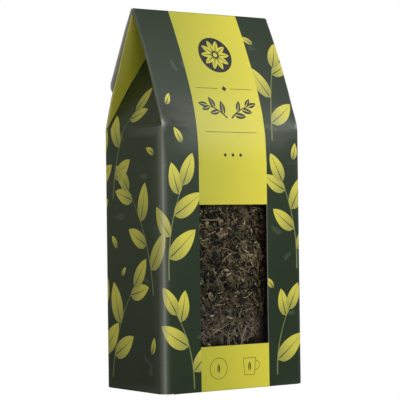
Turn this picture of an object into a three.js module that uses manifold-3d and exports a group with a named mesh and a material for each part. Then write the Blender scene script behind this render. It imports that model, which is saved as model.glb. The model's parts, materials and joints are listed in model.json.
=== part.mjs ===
// A gable-top tea carton with a die-cut window, and the clear pouch of loose tea that stands inside it.
// Millimetres, +Z up. The origin is at the middle of the base, and the front panel faces -Y.
import * as THREE from "three";
import { mergeVertices } from "three/addons/utils/BufferGeometryUtils.js";
import Module from "manifold-3d";

const wasm = await Module();
wasm.setup();

// Carton
const WIDTH = 88; // front and back panels, along X
const DEPTH = 54; // side panels, along Y
const SHOULDER = 136.5; // height of the crease where the roof starts
const RIDGE = 199; // height of the ridge's fold
const CARD = 0.5; // thickness of the board
const CORNER_RADIUS = 0.9; // upright creases
const SHOULDER_RADIUS = 15; // soft bend at the shoulder
const RIDGE_RADIUS = 1.0; // fold at the ridge
const ARC_STEPS = 6; // facets of each bend
const PAST = 1; // how far a cutting solid runs past the face that it cuts

// Window in the front panel
const WINDOW_WIDTH = 44;
const WINDOW_SHIFT = 0.5; // the die cut sits this far to the right of the panel's middle
const WINDOW_BOTTOM = 23;
const WINDOW_TOP = 96.2;

// Closing flap: the front roof goes on over the ridge and hangs down behind
const FLAP_LENGTH = 51;
const FLAP_SIDE_GAP = 0.4; // how much narrower than the roof it is, at each end
const FLAP_CORNER = 8;
const FLAP_FOLD = 4; // length of the curl at the ridge
const FLAP_GAP_TOP = 1.5; // clear of the back roof below the curl
const FLAP_GAP_END = 3.1; // clear of the back roof at its free edge
const FLAP_REACH = 10; // depth of the solid that trims its corners

// Pouch of loose tea
const POUCH_HALF_WIDTH = 34.4;
const POUCH_HALF_DEPTH = 24;
const POUCH_HEIGHT = 122;
const POUCH_FOOT = CARD + 0.3; // stands just clear of the carton's floor
const POUCH_FOOT_RADIUS = 15;
const POUCH_TOP_RADIUS = 18;
const POUCH_SQUARENESS = 3.2; // 2 is an ellipse in plan, more is squarer
const POUCH_NARROWING = 0.31; // share of the width that is lost at the foot
const POUCH_FULL = 100; // height where it reaches its full width
const POUCH_SIDES = 60;
const POUCH_LEVELS = 44;
const LEAF_BUMP = 0.55; // how far leaves push the film in or out
const LEAF_SEED = 7;

// The roof's outer face runs from the shoulder to the fold at the ridge, and leans in by this angle
const FOLD_CENTRE = RIDGE - RIDGE_RADIUS;
const FOLD_RISE = FOLD_CENTRE - SHOULDER;
const LEAN = Math.atan2(DEPTH / 2, FOLD_RISE) - Math.asin(RIDGE_RADIUS / Math.hypot(DEPTH / 2, FOLD_RISE));

const material = {
  card: new THREE.MeshStandardMaterial({ color: 0x35452f, roughness: 0.45, metalness: 0 }),
  tea: new THREE.MeshStandardMaterial({ color: 0x3c382c, roughness: 0.7, metalness: 0 }),
};

// Booleans

function merged(geometry) {
  const bare = geometry.clone();
  bare.deleteAttribute("normal");
  bare.deleteAttribute("uv");
  return mergeVertices(bare, 1e-4);
}

function solid(geometry) {
  const shared = merged(geometry);
  return new wasm.Manifold(
    new wasm.Mesh({
      numProp: 3,
      vertProperties: new Float32Array(shared.attributes.position.array),
      triVerts: new Uint32Array(shared.index.array),
    }),
  );
}

function geometryOf(manifold) {
  const mesh = manifold.getMesh();
  const geometry = new THREE.BufferGeometry();
  geometry.setAttribute("position", new THREE.BufferAttribute(new Float32Array(mesh.vertProperties), 3));
  geometry.setIndex(new THREE.BufferAttribute(new Uint32Array(mesh.triVerts), 1));
  geometry.computeVertexNormals();
  return geometry;
}

// Prisms of a flat outline: its first axis, its second axis and the way it is extruded
const X = new THREE.Vector3(1, 0, 0);
const Y = new THREE.Vector3(0, 1, 0);
const Z = new THREE.Vector3(0, 0, 1);

function prism(points, length, [first, second, along]) {
  const geometry = new THREE.ExtrudeGeometry(new THREE.Shape(points), { depth: length, bevelEnabled: false });
  geometry.translate(0, 0, -length / 2);
  return geometry.applyMatrix4(new THREE.Matrix4().makeBasis(first, second, along));
}

const alongX = (points, length) => solid(prism(points, length, [Y, Z, X]));
const alongY = (points, length) => solid(prism(points, length, [Z, X, Y]));
const alongZ = (points, length) => solid(prism(points, length, [X, Y, Z]));

function arc(centre, radius, from, to, steps = ARC_STEPS) {
  const points = [];
  for (let i = 0; i <= steps; i++) {
    const angle = from + ((to - from) * i) / steps;
    points.push(new THREE.Vector2(centre.x + radius * Math.cos(angle), centre.y + radius * Math.sin(angle)));
  }
  return points;
}

const mirrored = (points) => points.map((p) => new THREE.Vector2(-p.x, p.y)).reverse();

// One wall and the soft bend above it, at a given distance inside the outer face
function wallAndBend(half, inset, floor) {
  const centre = new THREE.Vector2(half - SHOULDER_RADIUS, SHOULDER - SHOULDER_RADIUS * Math.tan(LEAN / 2));
  return [new THREE.Vector2(half - inset, floor), ...arc(centre, SHOULDER_RADIUS - inset, 0, LEAN)];
}

// Cross-section of the house shape, front wall to back wall, as (y, z)
function houseSection(inset, floor) {
  const wall = wallAndBend(DEPTH / 2, inset, floor);
  const fold = new THREE.Vector2(0, FOLD_CENTRE);
  const ridge =
    inset < RIDGE_RADIUS
      ? arc(fold, RIDGE_RADIUS - inset, LEAN, Math.PI - LEAN)
      : [new THREE.Vector2(0, FOLD_CENTRE - (inset - RIDGE_RADIUS) / Math.sin(LEAN))];
  return [...wall, ...ridge, ...mirrored(wall)];
}

// Cross-section between the two side walls, whose tops lean in as gussets, as (z, x)
function gussetSection(inset, floor) {
  const top = RIDGE + PAST;
  const wall = wallAndBend(WIDTH / 2, inset, floor);
  const bend = wall[wall.length - 1];
  wall.push(new THREE.Vector2(bend.x - (top - bend.y) * Math.tan(LEAN), top));
  return [...wall, ...mirrored(wall)].map((p) => new THREE.Vector2(p.y, p.x)).reverse();
}

// Plan of the carton with its rounded upright creases
function planSection(inset) {
  const x = WIDTH / 2 - CORNER_RADIUS;
  const y = DEPTH / 2 - CORNER_RADIUS;
  const corners = [[x, y], [-x, y], [-x, -y], [x, -y]];
  return corners.flatMap(([cx, cy], i) =>
    arc(new THREE.Vector2(cx, cy), CORNER_RADIUS - inset, (i * Math.PI) / 2, ((i + 1) * Math.PI) / 2),
  );
}

function folded(inset, floor) {
  const house = alongX(houseSection(inset, floor), WIDTH);
  return house.intersect(alongZ(planSection(inset), 2 * (RIDGE + PAST)));
}

// The open wedge at each end of the roof: between the roof's two layers of board, above the gusset
function gableRecesses() {
  const betweenRoofs = alongX(houseSection(2 * CARD, 0), WIDTH + 2 * PAST);
  return betweenRoofs.subtract(alongY(gussetSection(0, -PAST), DEPTH + 2 * PAST));
}

function cavity() {
  return folded(CARD, CARD).intersect(alongY(gussetSection(CARD, -PAST), DEPTH));
}

function windowCut() {
  const height = WINDOW_TOP - WINDOW_BOTTOM;
  const box = new THREE.BoxGeometry(WINDOW_WIDTH, 2 * (CARD + PAST), height);
  box.translate(WINDOW_SHIFT, -DEPTH / 2, WINDOW_BOTTOM + height / 2);
  return solid(box);
}

// A point down the back roof from the ridge, lifted clear of its outer face, as (y, z)
function overBackRoof(down, clear) {
  const across = RIDGE_RADIUS + clear;
  return new THREE.Vector2(
    across * Math.cos(LEAN) + down * Math.sin(LEAN),
    FOLD_CENTRE + across * Math.sin(LEAN) - down * Math.cos(LEAN),
  );
}

function closingFlap() {
  const section = [
    new THREE.Vector2(0, FOLD_CENTRE),
    overBackRoof(FLAP_FOLD, FLAP_GAP_TOP),
    overBackRoof(FLAP_LENGTH, FLAP_GAP_END),
    overBackRoof(FLAP_LENGTH, FLAP_GAP_END + CARD),
    overBackRoof(FLAP_FOLD, FLAP_GAP_TOP + CARD),
    new THREE.Vector2(0, RIDGE),
  ];
  const width = WIDTH - 2 * FLAP_SIDE_GAP;
  return alongX(section, width).intersect(flapTrim(width));
}

// The flap's outline with its two rounded free corners, as a block through the back roof
function flapTrim(width) {
  const x = width / 2 - FLAP_CORNER;
  const low = FLAP_CORNER - FLAP_LENGTH;
  const outline = [
    new THREE.Vector2(width / 2, FLAP_REACH),
    new THREE.Vector2(-width / 2, FLAP_REACH),
    ...arc(new THREE.Vector2(-x, low), FLAP_CORNER, Math.PI, 1.5 * Math.PI),
    ...arc(new THREE.Vector2(x, low), FLAP_CORNER, 1.5 * Math.PI, 2 * Math.PI),
  ];
  const up = new THREE.Vector3(0, -Math.sin(LEAN), Math.cos(LEAN));
  const inward = new THREE.Vector3(0, -Math.cos(LEAN), -Math.sin(LEAN));
  const block = prism(outline, 2 * FLAP_REACH, [X, up, inward]);
  return solid(block.translate(0, 0, FOLD_CENTRE));
}

function makeCarton() {
  const shell = folded(0, 0).subtract(gableRecesses()).subtract(cavity()).subtract(windowCut());
  const mesh = new THREE.Mesh(geometryOf(shell.add(closingFlap())), material.card);
  mesh.name = "carton";
  return mesh;
}

// Pouch

// A small repeatable random source
function randomSource(seed) {
  let state = seed;
  return () => {
    state = (state * 1664525 + 1013904223) % 4294967296;
    return state / 4294967296;
  };
}

// Outline of the pouch from the middle of its foot to the middle of its top, as (radius, height)
function pouchOutline() {
  const side = POUCH_HALF_DEPTH;
  const path = new THREE.Path();
  path.moveTo(0, 0);
  path.lineTo(side - POUCH_FOOT_RADIUS, 0);
  path.absarc(side - POUCH_FOOT_RADIUS, POUCH_FOOT_RADIUS, POUCH_FOOT_RADIUS, -Math.PI / 2, 0);
  path.lineTo(side, POUCH_HEIGHT - POUCH_TOP_RADIUS);
  path.absarc(side - POUCH_TOP_RADIUS, POUCH_HEIGHT - POUCH_TOP_RADIUS, POUCH_TOP_RADIUS, 0, Math.PI / 2);
  path.lineTo(0, POUCH_HEIGHT);
  return path.getSpacedPoints(POUCH_LEVELS);
}

// The pouch is slimmer towards its foot
function fullness(height) {
  return 1 - POUCH_NARROWING * Math.max(0, 1 - height / POUCH_FULL) ** 2;
}

// Turns a round cross-section into the pouch's wide, slightly square one
function squareOff(position) {
  for (let i = 0; i < position.count; i++) {
    const radius = Math.hypot(position.getX(i), position.getY(i));
    if (radius < 1e-6) continue;
    const c = position.getX(i) / radius;
    const s = position.getY(i) / radius;
    const reach = (Math.abs(c) ** POUCH_SQUARENESS + Math.abs(s) ** POUCH_SQUARENESS) ** (-1 / POUCH_SQUARENESS);
    const wide = (POUCH_HALF_WIDTH / POUCH_HALF_DEPTH) * fullness(position.getZ(i));
    position.setXY(i, radius * reach * wide * c, radius * reach * s);
  }
}

// Lumps the size of the leaves behind the film, on everything but the foot that it stands on
function raiseLeaves(geometry) {
  const random = randomSource(LEAF_SEED);
  const { position, normal } = geometry.attributes;
  const outward = new THREE.Vector3();
  const point = new THREE.Vector3();
  for (let i = 0; i < position.count; i++) {
    const bump = LEAF_BUMP * (2 * random() - 1);
    point.fromBufferAttribute(position, i);
    if (point.z < POUCH_FOOT_RADIUS / 2) continue;
    point.addScaledVector(outward.fromBufferAttribute(normal, i), bump);
    position.setXYZ(i, point.x, point.y, point.z);
  }
}

function makePouch() {
  const turned = new THREE.LatheGeometry(pouchOutline(), POUCH_SIDES);
  turned.rotateX(Math.PI / 2);
  squareOff(turned.attributes.position);
  const geometry = merged(turned);
  geometry.computeVertexNormals();
  raiseLeaves(geometry);
  geometry.computeVertexNormals();
  const mesh = new THREE.Mesh(geometry, material.tea);
  mesh.name = "tea_pouch";
  mesh.position.z = POUCH_FOOT;
  return mesh;
}

const teaBox = new THREE.Group();
teaBox.add(makeCarton(), makePouch());

export default teaBox;
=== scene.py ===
# %% [markdown]
# # A gable-top carton of loose tea
# The real carton is one sheet of folding boxboard that is printed flat, die cut, creased and folded up.
# This lesson makes it in that order: a flat sheet, its print, its folds, then its thickness. Behind the
# window stands a clear film pouch with the dry leaf in it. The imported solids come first, because every size
# below is read from them or fitted to them.

# %% Load the frame
import bisect
import itertools
import json
import math
import random

import bpy
from mathutils import Matrix, Vector, noise
from mathutils.geometry import delaunay_2d_cdt

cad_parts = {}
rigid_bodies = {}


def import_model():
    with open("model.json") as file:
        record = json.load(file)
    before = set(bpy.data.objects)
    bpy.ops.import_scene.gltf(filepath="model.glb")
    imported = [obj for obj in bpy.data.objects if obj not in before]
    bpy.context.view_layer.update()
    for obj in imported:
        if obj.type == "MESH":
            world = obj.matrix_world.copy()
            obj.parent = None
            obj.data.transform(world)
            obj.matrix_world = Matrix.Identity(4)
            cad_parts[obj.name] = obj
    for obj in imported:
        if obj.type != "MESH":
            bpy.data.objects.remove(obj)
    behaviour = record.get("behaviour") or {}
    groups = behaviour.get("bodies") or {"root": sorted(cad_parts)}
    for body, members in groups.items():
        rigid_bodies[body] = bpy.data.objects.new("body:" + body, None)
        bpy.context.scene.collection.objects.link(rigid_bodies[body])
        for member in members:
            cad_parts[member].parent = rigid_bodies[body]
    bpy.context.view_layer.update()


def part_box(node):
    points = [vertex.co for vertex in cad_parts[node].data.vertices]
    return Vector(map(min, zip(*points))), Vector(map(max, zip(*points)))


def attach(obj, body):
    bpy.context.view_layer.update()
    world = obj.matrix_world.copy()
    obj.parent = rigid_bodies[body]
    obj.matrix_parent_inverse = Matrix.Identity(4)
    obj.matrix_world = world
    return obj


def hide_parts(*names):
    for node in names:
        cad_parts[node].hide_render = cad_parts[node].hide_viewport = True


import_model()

MM = 0.001
carton_low, carton_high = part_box("carton")
pouch_low, pouch_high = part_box("tea_pouch")
WIDTH = carton_high.x - carton_low.x
DEPTH = carton_high.y - carton_low.y
RIDGE = carton_high.z
print(f"carton {WIDTH / MM:.1f} x {DEPTH / MM:.1f} x {RIDGE / MM:.1f} mm")
pouch_size = (pouch_high - pouch_low) / MM
print(f"pouch {pouch_size.x:.1f} x {pouch_size.y:.1f} x {pouch_size.z:.1f} mm")

# %% [markdown]
# ## How the board folds
# Seen edge-on, each wall is a strip: a flap under the base, a tight crease, the wall, a soft bend at the
# shoulder, the roof. A strip like this is fully described by how long each run is and how far it turns, so
# it is walked: the distance along the board gives the place in space. The same distance is the height on
# the flat sheet.

# %% A strip of board that is walked
SHOULDER = 136.5 * MM
RIDGE_FOLD = 1.0 * MM
CREASE_RADIUS = 0.6 * MM
STRAIGHT = 1e-9
DIGITS = 9
rise = RIDGE - RIDGE_FOLD - SHOULDER
LEAN = math.atan2(DEPTH / 2, rise) - math.asin(RIDGE_FOLD / math.hypot(DEPTH / 2, rise))


class Strip:
    """A strip of board seen edge-on: straight runs and bends, read off by the distance walked along it."""

    def __init__(self, across, height, heading):
        self.runs = []
        self.spot = (across, height, heading)
        self.walked = 0.0
        self.shift = 0.0
        self.foot = 0.0

    def walk(self, length, turn=0.0):
        self.runs.append((self.walked, *self.spot, turn / length))
        self.spot = self.step(*self.spot, turn / length, length)
        self.walked += length

    @staticmethod
    def step(across, height, heading, curve, distance):
        turned = heading + curve * distance
        if abs(curve) < STRAIGHT:
            return across + distance * math.sin(heading), height + distance * math.cos(heading), turned
        return (
            across + (math.cos(heading) - math.cos(turned)) / curve,
            height + (math.sin(turned) - math.sin(heading)) / curve,
            turned,
        )

    def at(self, v):
        """Distance in from the outer face, height and heading at a height v of the flat sheet."""
        distance = v - self.shift
        run = max((r for r in self.runs if r[0] <= distance), default=self.runs[0])
        return self.step(*run[1:], distance - run[0])

    def end(self):
        return self.walked + self.shift

    def bend_lines(self, widest):
        """Heights of the flat sheet where the bends start and end, and of the facets between them."""
        ends = [run[0] for run in self.runs[1:]] + [self.walked]
        lines = []
        for (start, *_, curve), end in zip(self.runs, ends):
            steps = max(1, math.ceil(abs(curve) * (end - start) / widest))
            lines += [self.shift + start + (end - start) * i / steps for i in range(steps + 1)]
        return sorted(set(round(v, DIGITS) for v in lines))


def wall_strip(base_flap, lift, bend_height, radius, lean):
    """Base flap, crease, wall and shoulder bend. From the crease up, the distance walked is the height."""
    strip = Strip(CREASE_RADIUS + base_flap, lift, -math.pi / 2)
    strip.walk(base_flap)
    strip.walk(CREASE_RADIUS * math.pi / 2, math.pi / 2)
    strip.shift = strip.spot[1] - strip.walked
    strip.foot = strip.end()
    strip.walk(bend_height - radius * math.tan(lean / 2) - strip.spot[1])
    strip.walk(radius * lean, lean)
    return strip


def climb(strip, height, bow):
    """Walks on up to a height along a slight bow."""
    mean = strip.spot[2] + bow / 2
    shortened = math.sin(bow / 2) / (bow / 2)
    strip.walk((height - strip.spot[1]) / (math.cos(mean) * shortened), bow)


print("roofs lean", round(math.degrees(LEAN), 1), "degrees")

# %% [markdown]
# The front strip is the longest: past the ridge it comes down behind as the closing flap, which stands open
# because nothing holds its free end. At the front the shoulder is one long soft bend, and the roof goes on
# bowing out above it. At the back the shoulder is sharper, and the roof stops just under the ridge's fold.
# The side strips lean in as gussets.

# %% The four strips
PLY = 0.55 * MM
FRONT_BEND = (138.3 * MM, 110 * MM, math.radians(21.1))
FRONT_BOW = math.radians(7.0)
BACK_BOW = math.radians(10)
BACK_BEND = (SHOULDER, 12 * MM, LEAN - BACK_BOW / 2)
SIDE_BEND = (SHOULDER, 8 * MM, LEAN)
RIDGE_RADIUS = 1.5 * MM
FLAP_OPEN = math.radians(33.5)
FLAP_CURVES = ((18 * MM, math.radians(7.0)), (31.5 * MM, math.radians(-4.0)))
BACK_ROOF_STOP = 2.5 * MM
BASE_FLAP = 50 * MM
TUCK_FLAP = 20 * MM

front_strip = wall_strip(TUCK_FLAP, 0.0, *FRONT_BEND)
top_heading = FRONT_BEND[2] + FRONT_BOW
climb(front_strip, RIDGE - RIDGE_RADIUS * (1 - math.sin(top_heading)), FRONT_BOW)
ROOF_END = front_strip.end()
ridge_turn = math.pi - FLAP_OPEN - top_heading
front_strip.walk(RIDGE_RADIUS * ridge_turn, ridge_turn)
for length, turn in FLAP_CURVES:
    front_strip.walk(length, turn)
FLAP_END = front_strip.end()

back_strip = wall_strip(BASE_FLAP, PLY, *BACK_BEND)
climb(back_strip, RIDGE - BACK_ROOF_STOP, BACK_BOW)
BACK_ROOF_END = back_strip.end()

side_strip = wall_strip(TUCK_FLAP, 0.0, *SIDE_BEND)
side_strip.walk((RIDGE - BACK_ROOF_STOP - side_strip.spot[1]) / math.cos(LEAN))
strip_length = FLAP_END - front_strip.shift
print(f"flat front strip {strip_length / MM:.0f} mm long, roof {(ROOF_END - SHOULDER) / MM:.0f} mm")

# %% [markdown]
# ## From the flat sheet to the folded carton
# On the flat sheet u runs round the carton and v runs up. The front panel starts at u = 0, with the left
# side and the back to its left and the right side to its right, so the sheet's two ends meet at the right
# back corner, out of sight. Each panel knows its first corner, the way it runs and the way in.

# %% Panels of the flat sheet
class Panel:
    def __init__(self, first, last, anchor, corner, along, inward, strip):
        self.first = first
        self.last = last
        self.anchor = anchor
        self.corner = Vector((*corner, 0))
        self.along = Vector((*along, 0))
        self.inward = Vector((*inward, 0))
        self.strip = strip

    def spot(self, u, v, sunk=0.0):
        """A place on the flat panel, sunk below its outer face."""
        across, height, heading = self.strip.at(v)
        across += sunk * math.cos(heading)
        height -= sunk * math.sin(heading)
        return self.corner + self.along * (u - self.anchor) + self.inward * across + Vector((0, 0, height))


half_w = WIDTH / 2
half_d = DEPTH / 2
panels = {
    "back": Panel(-DEPTH - WIDTH, -DEPTH, -DEPTH, (-half_w, half_d), (-1, 0), (0, -1), back_strip),
    "left": Panel(-DEPTH, 0, 0, (-half_w, -half_d), (0, -1), (1, 0), side_strip),
    "front": Panel(0, WIDTH, 0, (-half_w, -half_d), (1, 0), (0, 1), front_strip),
    "right": Panel(WIDTH, WIDTH + DEPTH, WIDTH, (half_w, -half_d), (0, 1), (-1, 0), side_strip),
}
ORDER = ["back", "left", "front", "right"]
strips = {name: panel.strip for name, panel in panels.items()}
SHEET_START = panels["back"].first
SHEET_END = panels["right"].last


def wrapped(u):
    return u + SHEET_END - SHEET_START if u < SHEET_START else u


def panel_at(u):
    return next((name for name in ORDER if u <= panels[name].last), ORDER[-1])


print("sheet", round((SHEET_END - SHEET_START) / MM), "mm round the carton")

# %% [markdown]
# The upright creases are quarter rounds, tight at the shoulder. The front left one was never pressed sharp
# and is a broad round below. A bevel on a box would give the same round, but it would not say where the
# print goes.

# %% Rounded upright creases
TIGHT = 0.6 * MM
SOFT = 4.2 * MM
SOFT_RUN = 8 * MM
corner_radii = {
    "back": (TIGHT, TIGHT),
    "left": (TIGHT, SOFT),
    "front": (SOFT, TIGHT),
    "right": (TIGHT, TIGHT),
}


def smooth(t):
    t = min(max(t, 0.0), 1.0)
    return t * t * (3 - 2 * t)


def next_to(name, step):
    return ORDER[(ORDER.index(name) + step) % len(ORDER)]


def corner_radius(name, after, v):
    return TIGHT + (corner_radii[name][after] - TIGHT) * smooth((SHOULDER - v) / SOFT_RUN)


def rounding(name, u, v):
    """How far the quarter round at an upright crease pulls a place in from the sharp corner."""
    panel = panels[name]
    after = panel.last - u < u - panel.first
    radius = corner_radius(name, after, v)
    reach = panel.last - u if after else u - panel.first
    if reach >= radius:
        return Vector((0, 0, 0))
    other = panels[next_to(name, 1 if after else -1)]
    turn = (1 - reach / radius) * math.pi / 4
    outward = -panel.inward * math.cos(turn) - other.inward * math.sin(turn)
    flat = (-panel.along if after else panel.along) * reach
    return radius * (panel.inward + other.inward + outward) - flat


print("front left crease", round(SOFT / MM, 1), "mm round, the others", round(TIGHT / MM, 1), "mm")

# %% [markdown]
# Where a wall bends in near the shoulder, its neighbours still hold its ends out. Lower down it sags a
# little towards its middle. Both are small shifts that are added to the flat panel, so each can be changed
# by itself. At the foot of a crease the board runs straight down, because no flap pulls it in there.

# %% Walls held at their ends
HOLD_WIDTH = 17 * MM
HOLD_FADE = 16 * MM
WALL_DENT = 0.22 * MM
FOOT_SLIT = 0.1 * MM


def bent_in(name, v):
    """How far a wall has bent in at this height. Above the shoulder this fades away."""
    level = min(max(v, SHOULDER / 2), SHOULDER)
    return strips[name].at(level)[0] * (1 - smooth((v - SHOULDER) / HOLD_FADE))


def held_out(name, u, v):
    panel = panels[name]
    reach = min(u - panel.first, panel.last - u)
    return -panel.inward * bent_in(name, v) * (1 - smooth(reach / HOLD_WIDTH))


def dent(panel, u, v):
    """Board never stays quite flat: each wall sinks a little towards its middle."""
    across = math.sin(math.pi * min(max((u - panel.first) / (panel.last - panel.first), 0), 1))
    up = math.sin(math.pi * min(max(v / SHOULDER, 0), 1))
    return WALL_DENT * across * up


def foot_tab(name, after):
    return corner_radii[name][after] + FOOT_SLIT


def at_corner(name, u):
    panel = panels[name]
    return u - panel.first < foot_tab(name, 0) or panel.last - u < foot_tab(name, 1)


def wall_spot(u, v):
    u = wrapped(u)
    name = panel_at(u)
    panel = panels[name]
    drop = Vector((0, 0, 0))
    if v < panel.strip.foot and at_corner(name, u):
        drop.z = v - panel.strip.foot
        v = panel.strip.foot
    return panel.spot(u, v, dent(panel, u, v)) + rounding(name, u, v) + held_out(name, u, v) + drop


print("left wall at half height", [round(x / MM, 1) for x in wall_spot(-DEPTH / 2, SHOULDER / 2)])

# %% [markdown]
# Above the shoulder each end of a roof turns right round on itself, and the web behind it comes back along
# the roof's underside. The turn is tight at the shoulder and loose above, and the web closes up to the
# roof.

# %% Turned roof ends
END_TIGHT = 0.5 * MM
END_LOOSE = 0.65 * MM
END_RUN = 14 * MM
WEB_GAP = 1.1 * MM
WEB_CLOSE = 9 * MM
BACK_INSET = 0.9 * MM
BACK_INSET_FROM = SHOULDER + 16 * MM
BACK_INSET_RUN = 20 * MM


def end_radius(v):
    return END_TIGHT + (END_LOOSE - END_TIGHT) * smooth((v - SHOULDER) / END_RUN)


def web_depth(radius, run):
    return WEB_GAP + (2 * radius - WEB_GAP) * (1 - smooth(run / WEB_CLOSE))


def turned_end(reach, v):
    """How far in from a roof's end and how deep under its face. The reach goes negative along the web."""
    radius = end_radius(v)
    if reach >= radius:
        return reach, 0.0
    if reach <= -radius:
        return -reach, web_depth(radius, -reach - radius)
    turn = (radius - reach) / (2 * radius) * math.pi
    return radius * (1 - math.sin(turn)), radius * (1 - math.cos(turn))


def roof_spot(name, u, v):
    panel = panels[name]
    if v > ROOF_END:
        return panel.spot(u, v)
    middle = (panel.first + panel.last) / 2
    inset, depth = turned_end(u - panel.first if u < middle else panel.last - u, v)
    if name == "back":
        inset += BACK_INSET * smooth((v - BACK_INSET_FROM) / BACK_INSET_RUN)
    along = panel.first + inset if u < middle else panel.last - inset
    return panel.spot(along, v, depth) + held_out(name, u, v)


print("roof ends turn on", END_TIGHT / MM, "to", END_LOOSE / MM, "mm")

# %% [markdown]
# A gusset ends where it meets the web, so its outline depends on how far in the roof is at each height.
# That is looked up in a short table for each roof. The gusset's edge rolls up a little before the crease.

# %% Webs and gussets
WEB_BITE = 0.3 * MM
ROOF_STEPS = 240
CREASE_ROLL = 0.5 * MM
CREASE_ROLL_AT = 1.7 * MM
CREASE_ROLL_WIDTH = 0.9 * MM


def roof_line(strip):
    """Heights up a roof, and how far in its face is there."""
    start = SHOULDER / 2
    spots = [strip.at(start + (ROOF_END - start) * i / ROOF_STEPS) for i in range(ROOF_STEPS + 1)]
    return [spot[1] for spot in spots], [spot[0] for spot in spots]


roof_lines = {name: roof_line(strips[name]) for name in ("front", "back")}


def roof_across(name, height):
    heights, insets = roof_lines[name]
    i = min(max(bisect.bisect(heights, height), 1), len(heights) - 1)
    share = (height - heights[i - 1]) / (heights[i] - heights[i - 1])
    return insets[i - 1] + (insets[i] - insets[i - 1]) * share


def web_reach(name, v):
    """How far a web runs in from the end of its roof at this height, to where the gusset meets it."""
    depth = web_depth(end_radius(v), max(0.0, (v - SHOULDER) * math.sin(LEAN) - end_radius(v)))
    across = roof_across(name, side_strip.at(v)[1]) - bent_in(name, v)
    return across + depth / math.cos(LEAN) - WEB_BITE


def gusset_margin(name, u, v):
    """Distance from a place on a gusset to the nearer of its two creases. Negative on a web."""
    panel = panels[name]
    first = u - panel.first - web_reach(next_to(name, -1), v)
    return min(first, panel.last - u - web_reach(next_to(name, 1), v))


def crease_roll(name, u, v):
    """A gusset's edge rolls up a little before it dives into the crease, most of all near the shoulder."""
    rolled = math.exp(-(((gusset_margin(name, u, v) - CREASE_ROLL_AT) / CREASE_ROLL_WIDTH) ** 2))
    return rolled * (1 - smooth((v - SHOULDER) / (ROOF_END - SHOULDER)))


def gusset_spot(name, u, v):
    return panels[name].spot(u, v, -CREASE_ROLL * crease_roll(name, u, v))


print("web at mid roof", round(web_reach("back", (SHOULDER + ROOF_END) / 2) / MM, 1), "mm wide")

# %% [markdown]
# One function now says where any place on the flat sheet goes. Just above the shoulder it blends from the
# wall to the roof. The normal comes from two short steps across the sheet, so it is right on every bend.

# %% The folded sheet
SETTLE = 2.2 * MM
FEEL = 0.02 * MM


def folded_spot(name, u, v):
    """Where a place on the flat sheet goes when the carton is folded up."""
    if v <= SHOULDER or name == "wall":
        return wall_spot(u, v)
    free = gusset_spot(name, u, v) if name in ("left", "right") else roof_spot(name, u, v)
    held = 1 - smooth((v - SHOULDER) / SETTLE)
    return free.lerp(wall_spot(u, v), held) if held > 0 else free


def folded_normal(name, u, v):
    across = folded_spot(name, u + FEEL, v) - folded_spot(name, u - FEEL, v)
    up = folded_spot(name, u, v + FEEL) - folded_spot(name, u, v - FEEL)
    normal = across.cross(up).normalized()
    at_edge = min(abs(u - panel.first) for panel in panels.values()) < END_TIGHT / 2
    if at_edge and v < SHOULDER + SETTLE and normal.xy.dot(folded_spot(name, u, v).xy) < 0:
        return -normal
    return normal


print("roof ends at", [round(x / MM, 1) for x in folded_spot("front", WIDTH / 2, ROOF_END)])

# %% [markdown]
# ## Drawing the flat sheet
# A carton maker draws cut lines, crease lines and print on one flat drawing. Here that drawing is a list of
# outlines, and a constrained triangulation turns it into a mesh whose edges follow every line. Print is
# then nothing but which triangles take which ink, so its edges stay sharp at any distance and it folds with
# the board.

# %% The drawing
INKS = ["green", "shadow", "leaf", "lime", "dark", "board"]


class Drawing:
    """Outlines on the flat sheet. A later print covers an earlier one."""

    def __init__(self):
        self.points = []
        self.edges = []
        self.outlines = []
        self.inks = []
        self.grains = []

    def spots(self, points):
        """Adds points, in mm, and returns their numbers."""
        start = len(self.points)
        self.points += [Vector((u / MM, v / MM)) for u, v in points]
        return list(range(start, len(self.points)))

    def line(self, points, closed=False):
        numbers = self.spots(points)
        self.edges += list(zip(numbers, numbers[1:]))
        if closed:
            self.edges.append((numbers[-1], numbers[0]))

    def ink(self, points, ink, grain=None):
        """A filled outline, turned to run anticlockwise for the triangulation, and how its tone grows."""
        outline = self.spots(points)
        area = sum(u0 * v1 - u1 * v0 for (u0, v0), (u1, v1) in zip(points, points[1:] + points[:1]))
        self.outlines.append(outline if area > 0 else outline[::-1])
        self.inks.append(ink)
        self.grains.append(grain)


drawing = Drawing()
print(len(INKS), "inks:", ", ".join(INKS))

# %% [markdown]
# Crease lines come first. Every bend gets a few lines across it, so that the folded sheet is smooth there,
# and the flat parts get a loose grid of points that lets them sag.

# %% Crease lines
BEND_FACET = math.radians(9)
CORNER_SHARES = (0, 0.25, 0.5, 0.75, 1)
END_FACETS = 10
WEAR_LINES = (0.4 * MM, 0.9 * MM, 1.6 * MM)
EAR_LINES = (1.0 * MM, 2.0 * MM, 3.5 * MM)
GRID = 7 * MM
WALL_FOOT = 2 * PLY + CREASE_RADIUS
WEB_SHORT = 0.4 * MM
FRONT_WEB_SHORT = 1.0 * MM
WEB_TOP = BACK_ROOF_END - WEB_SHORT
FRONT_WEB_TOP = ROOF_END - FRONT_WEB_SHORT

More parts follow.
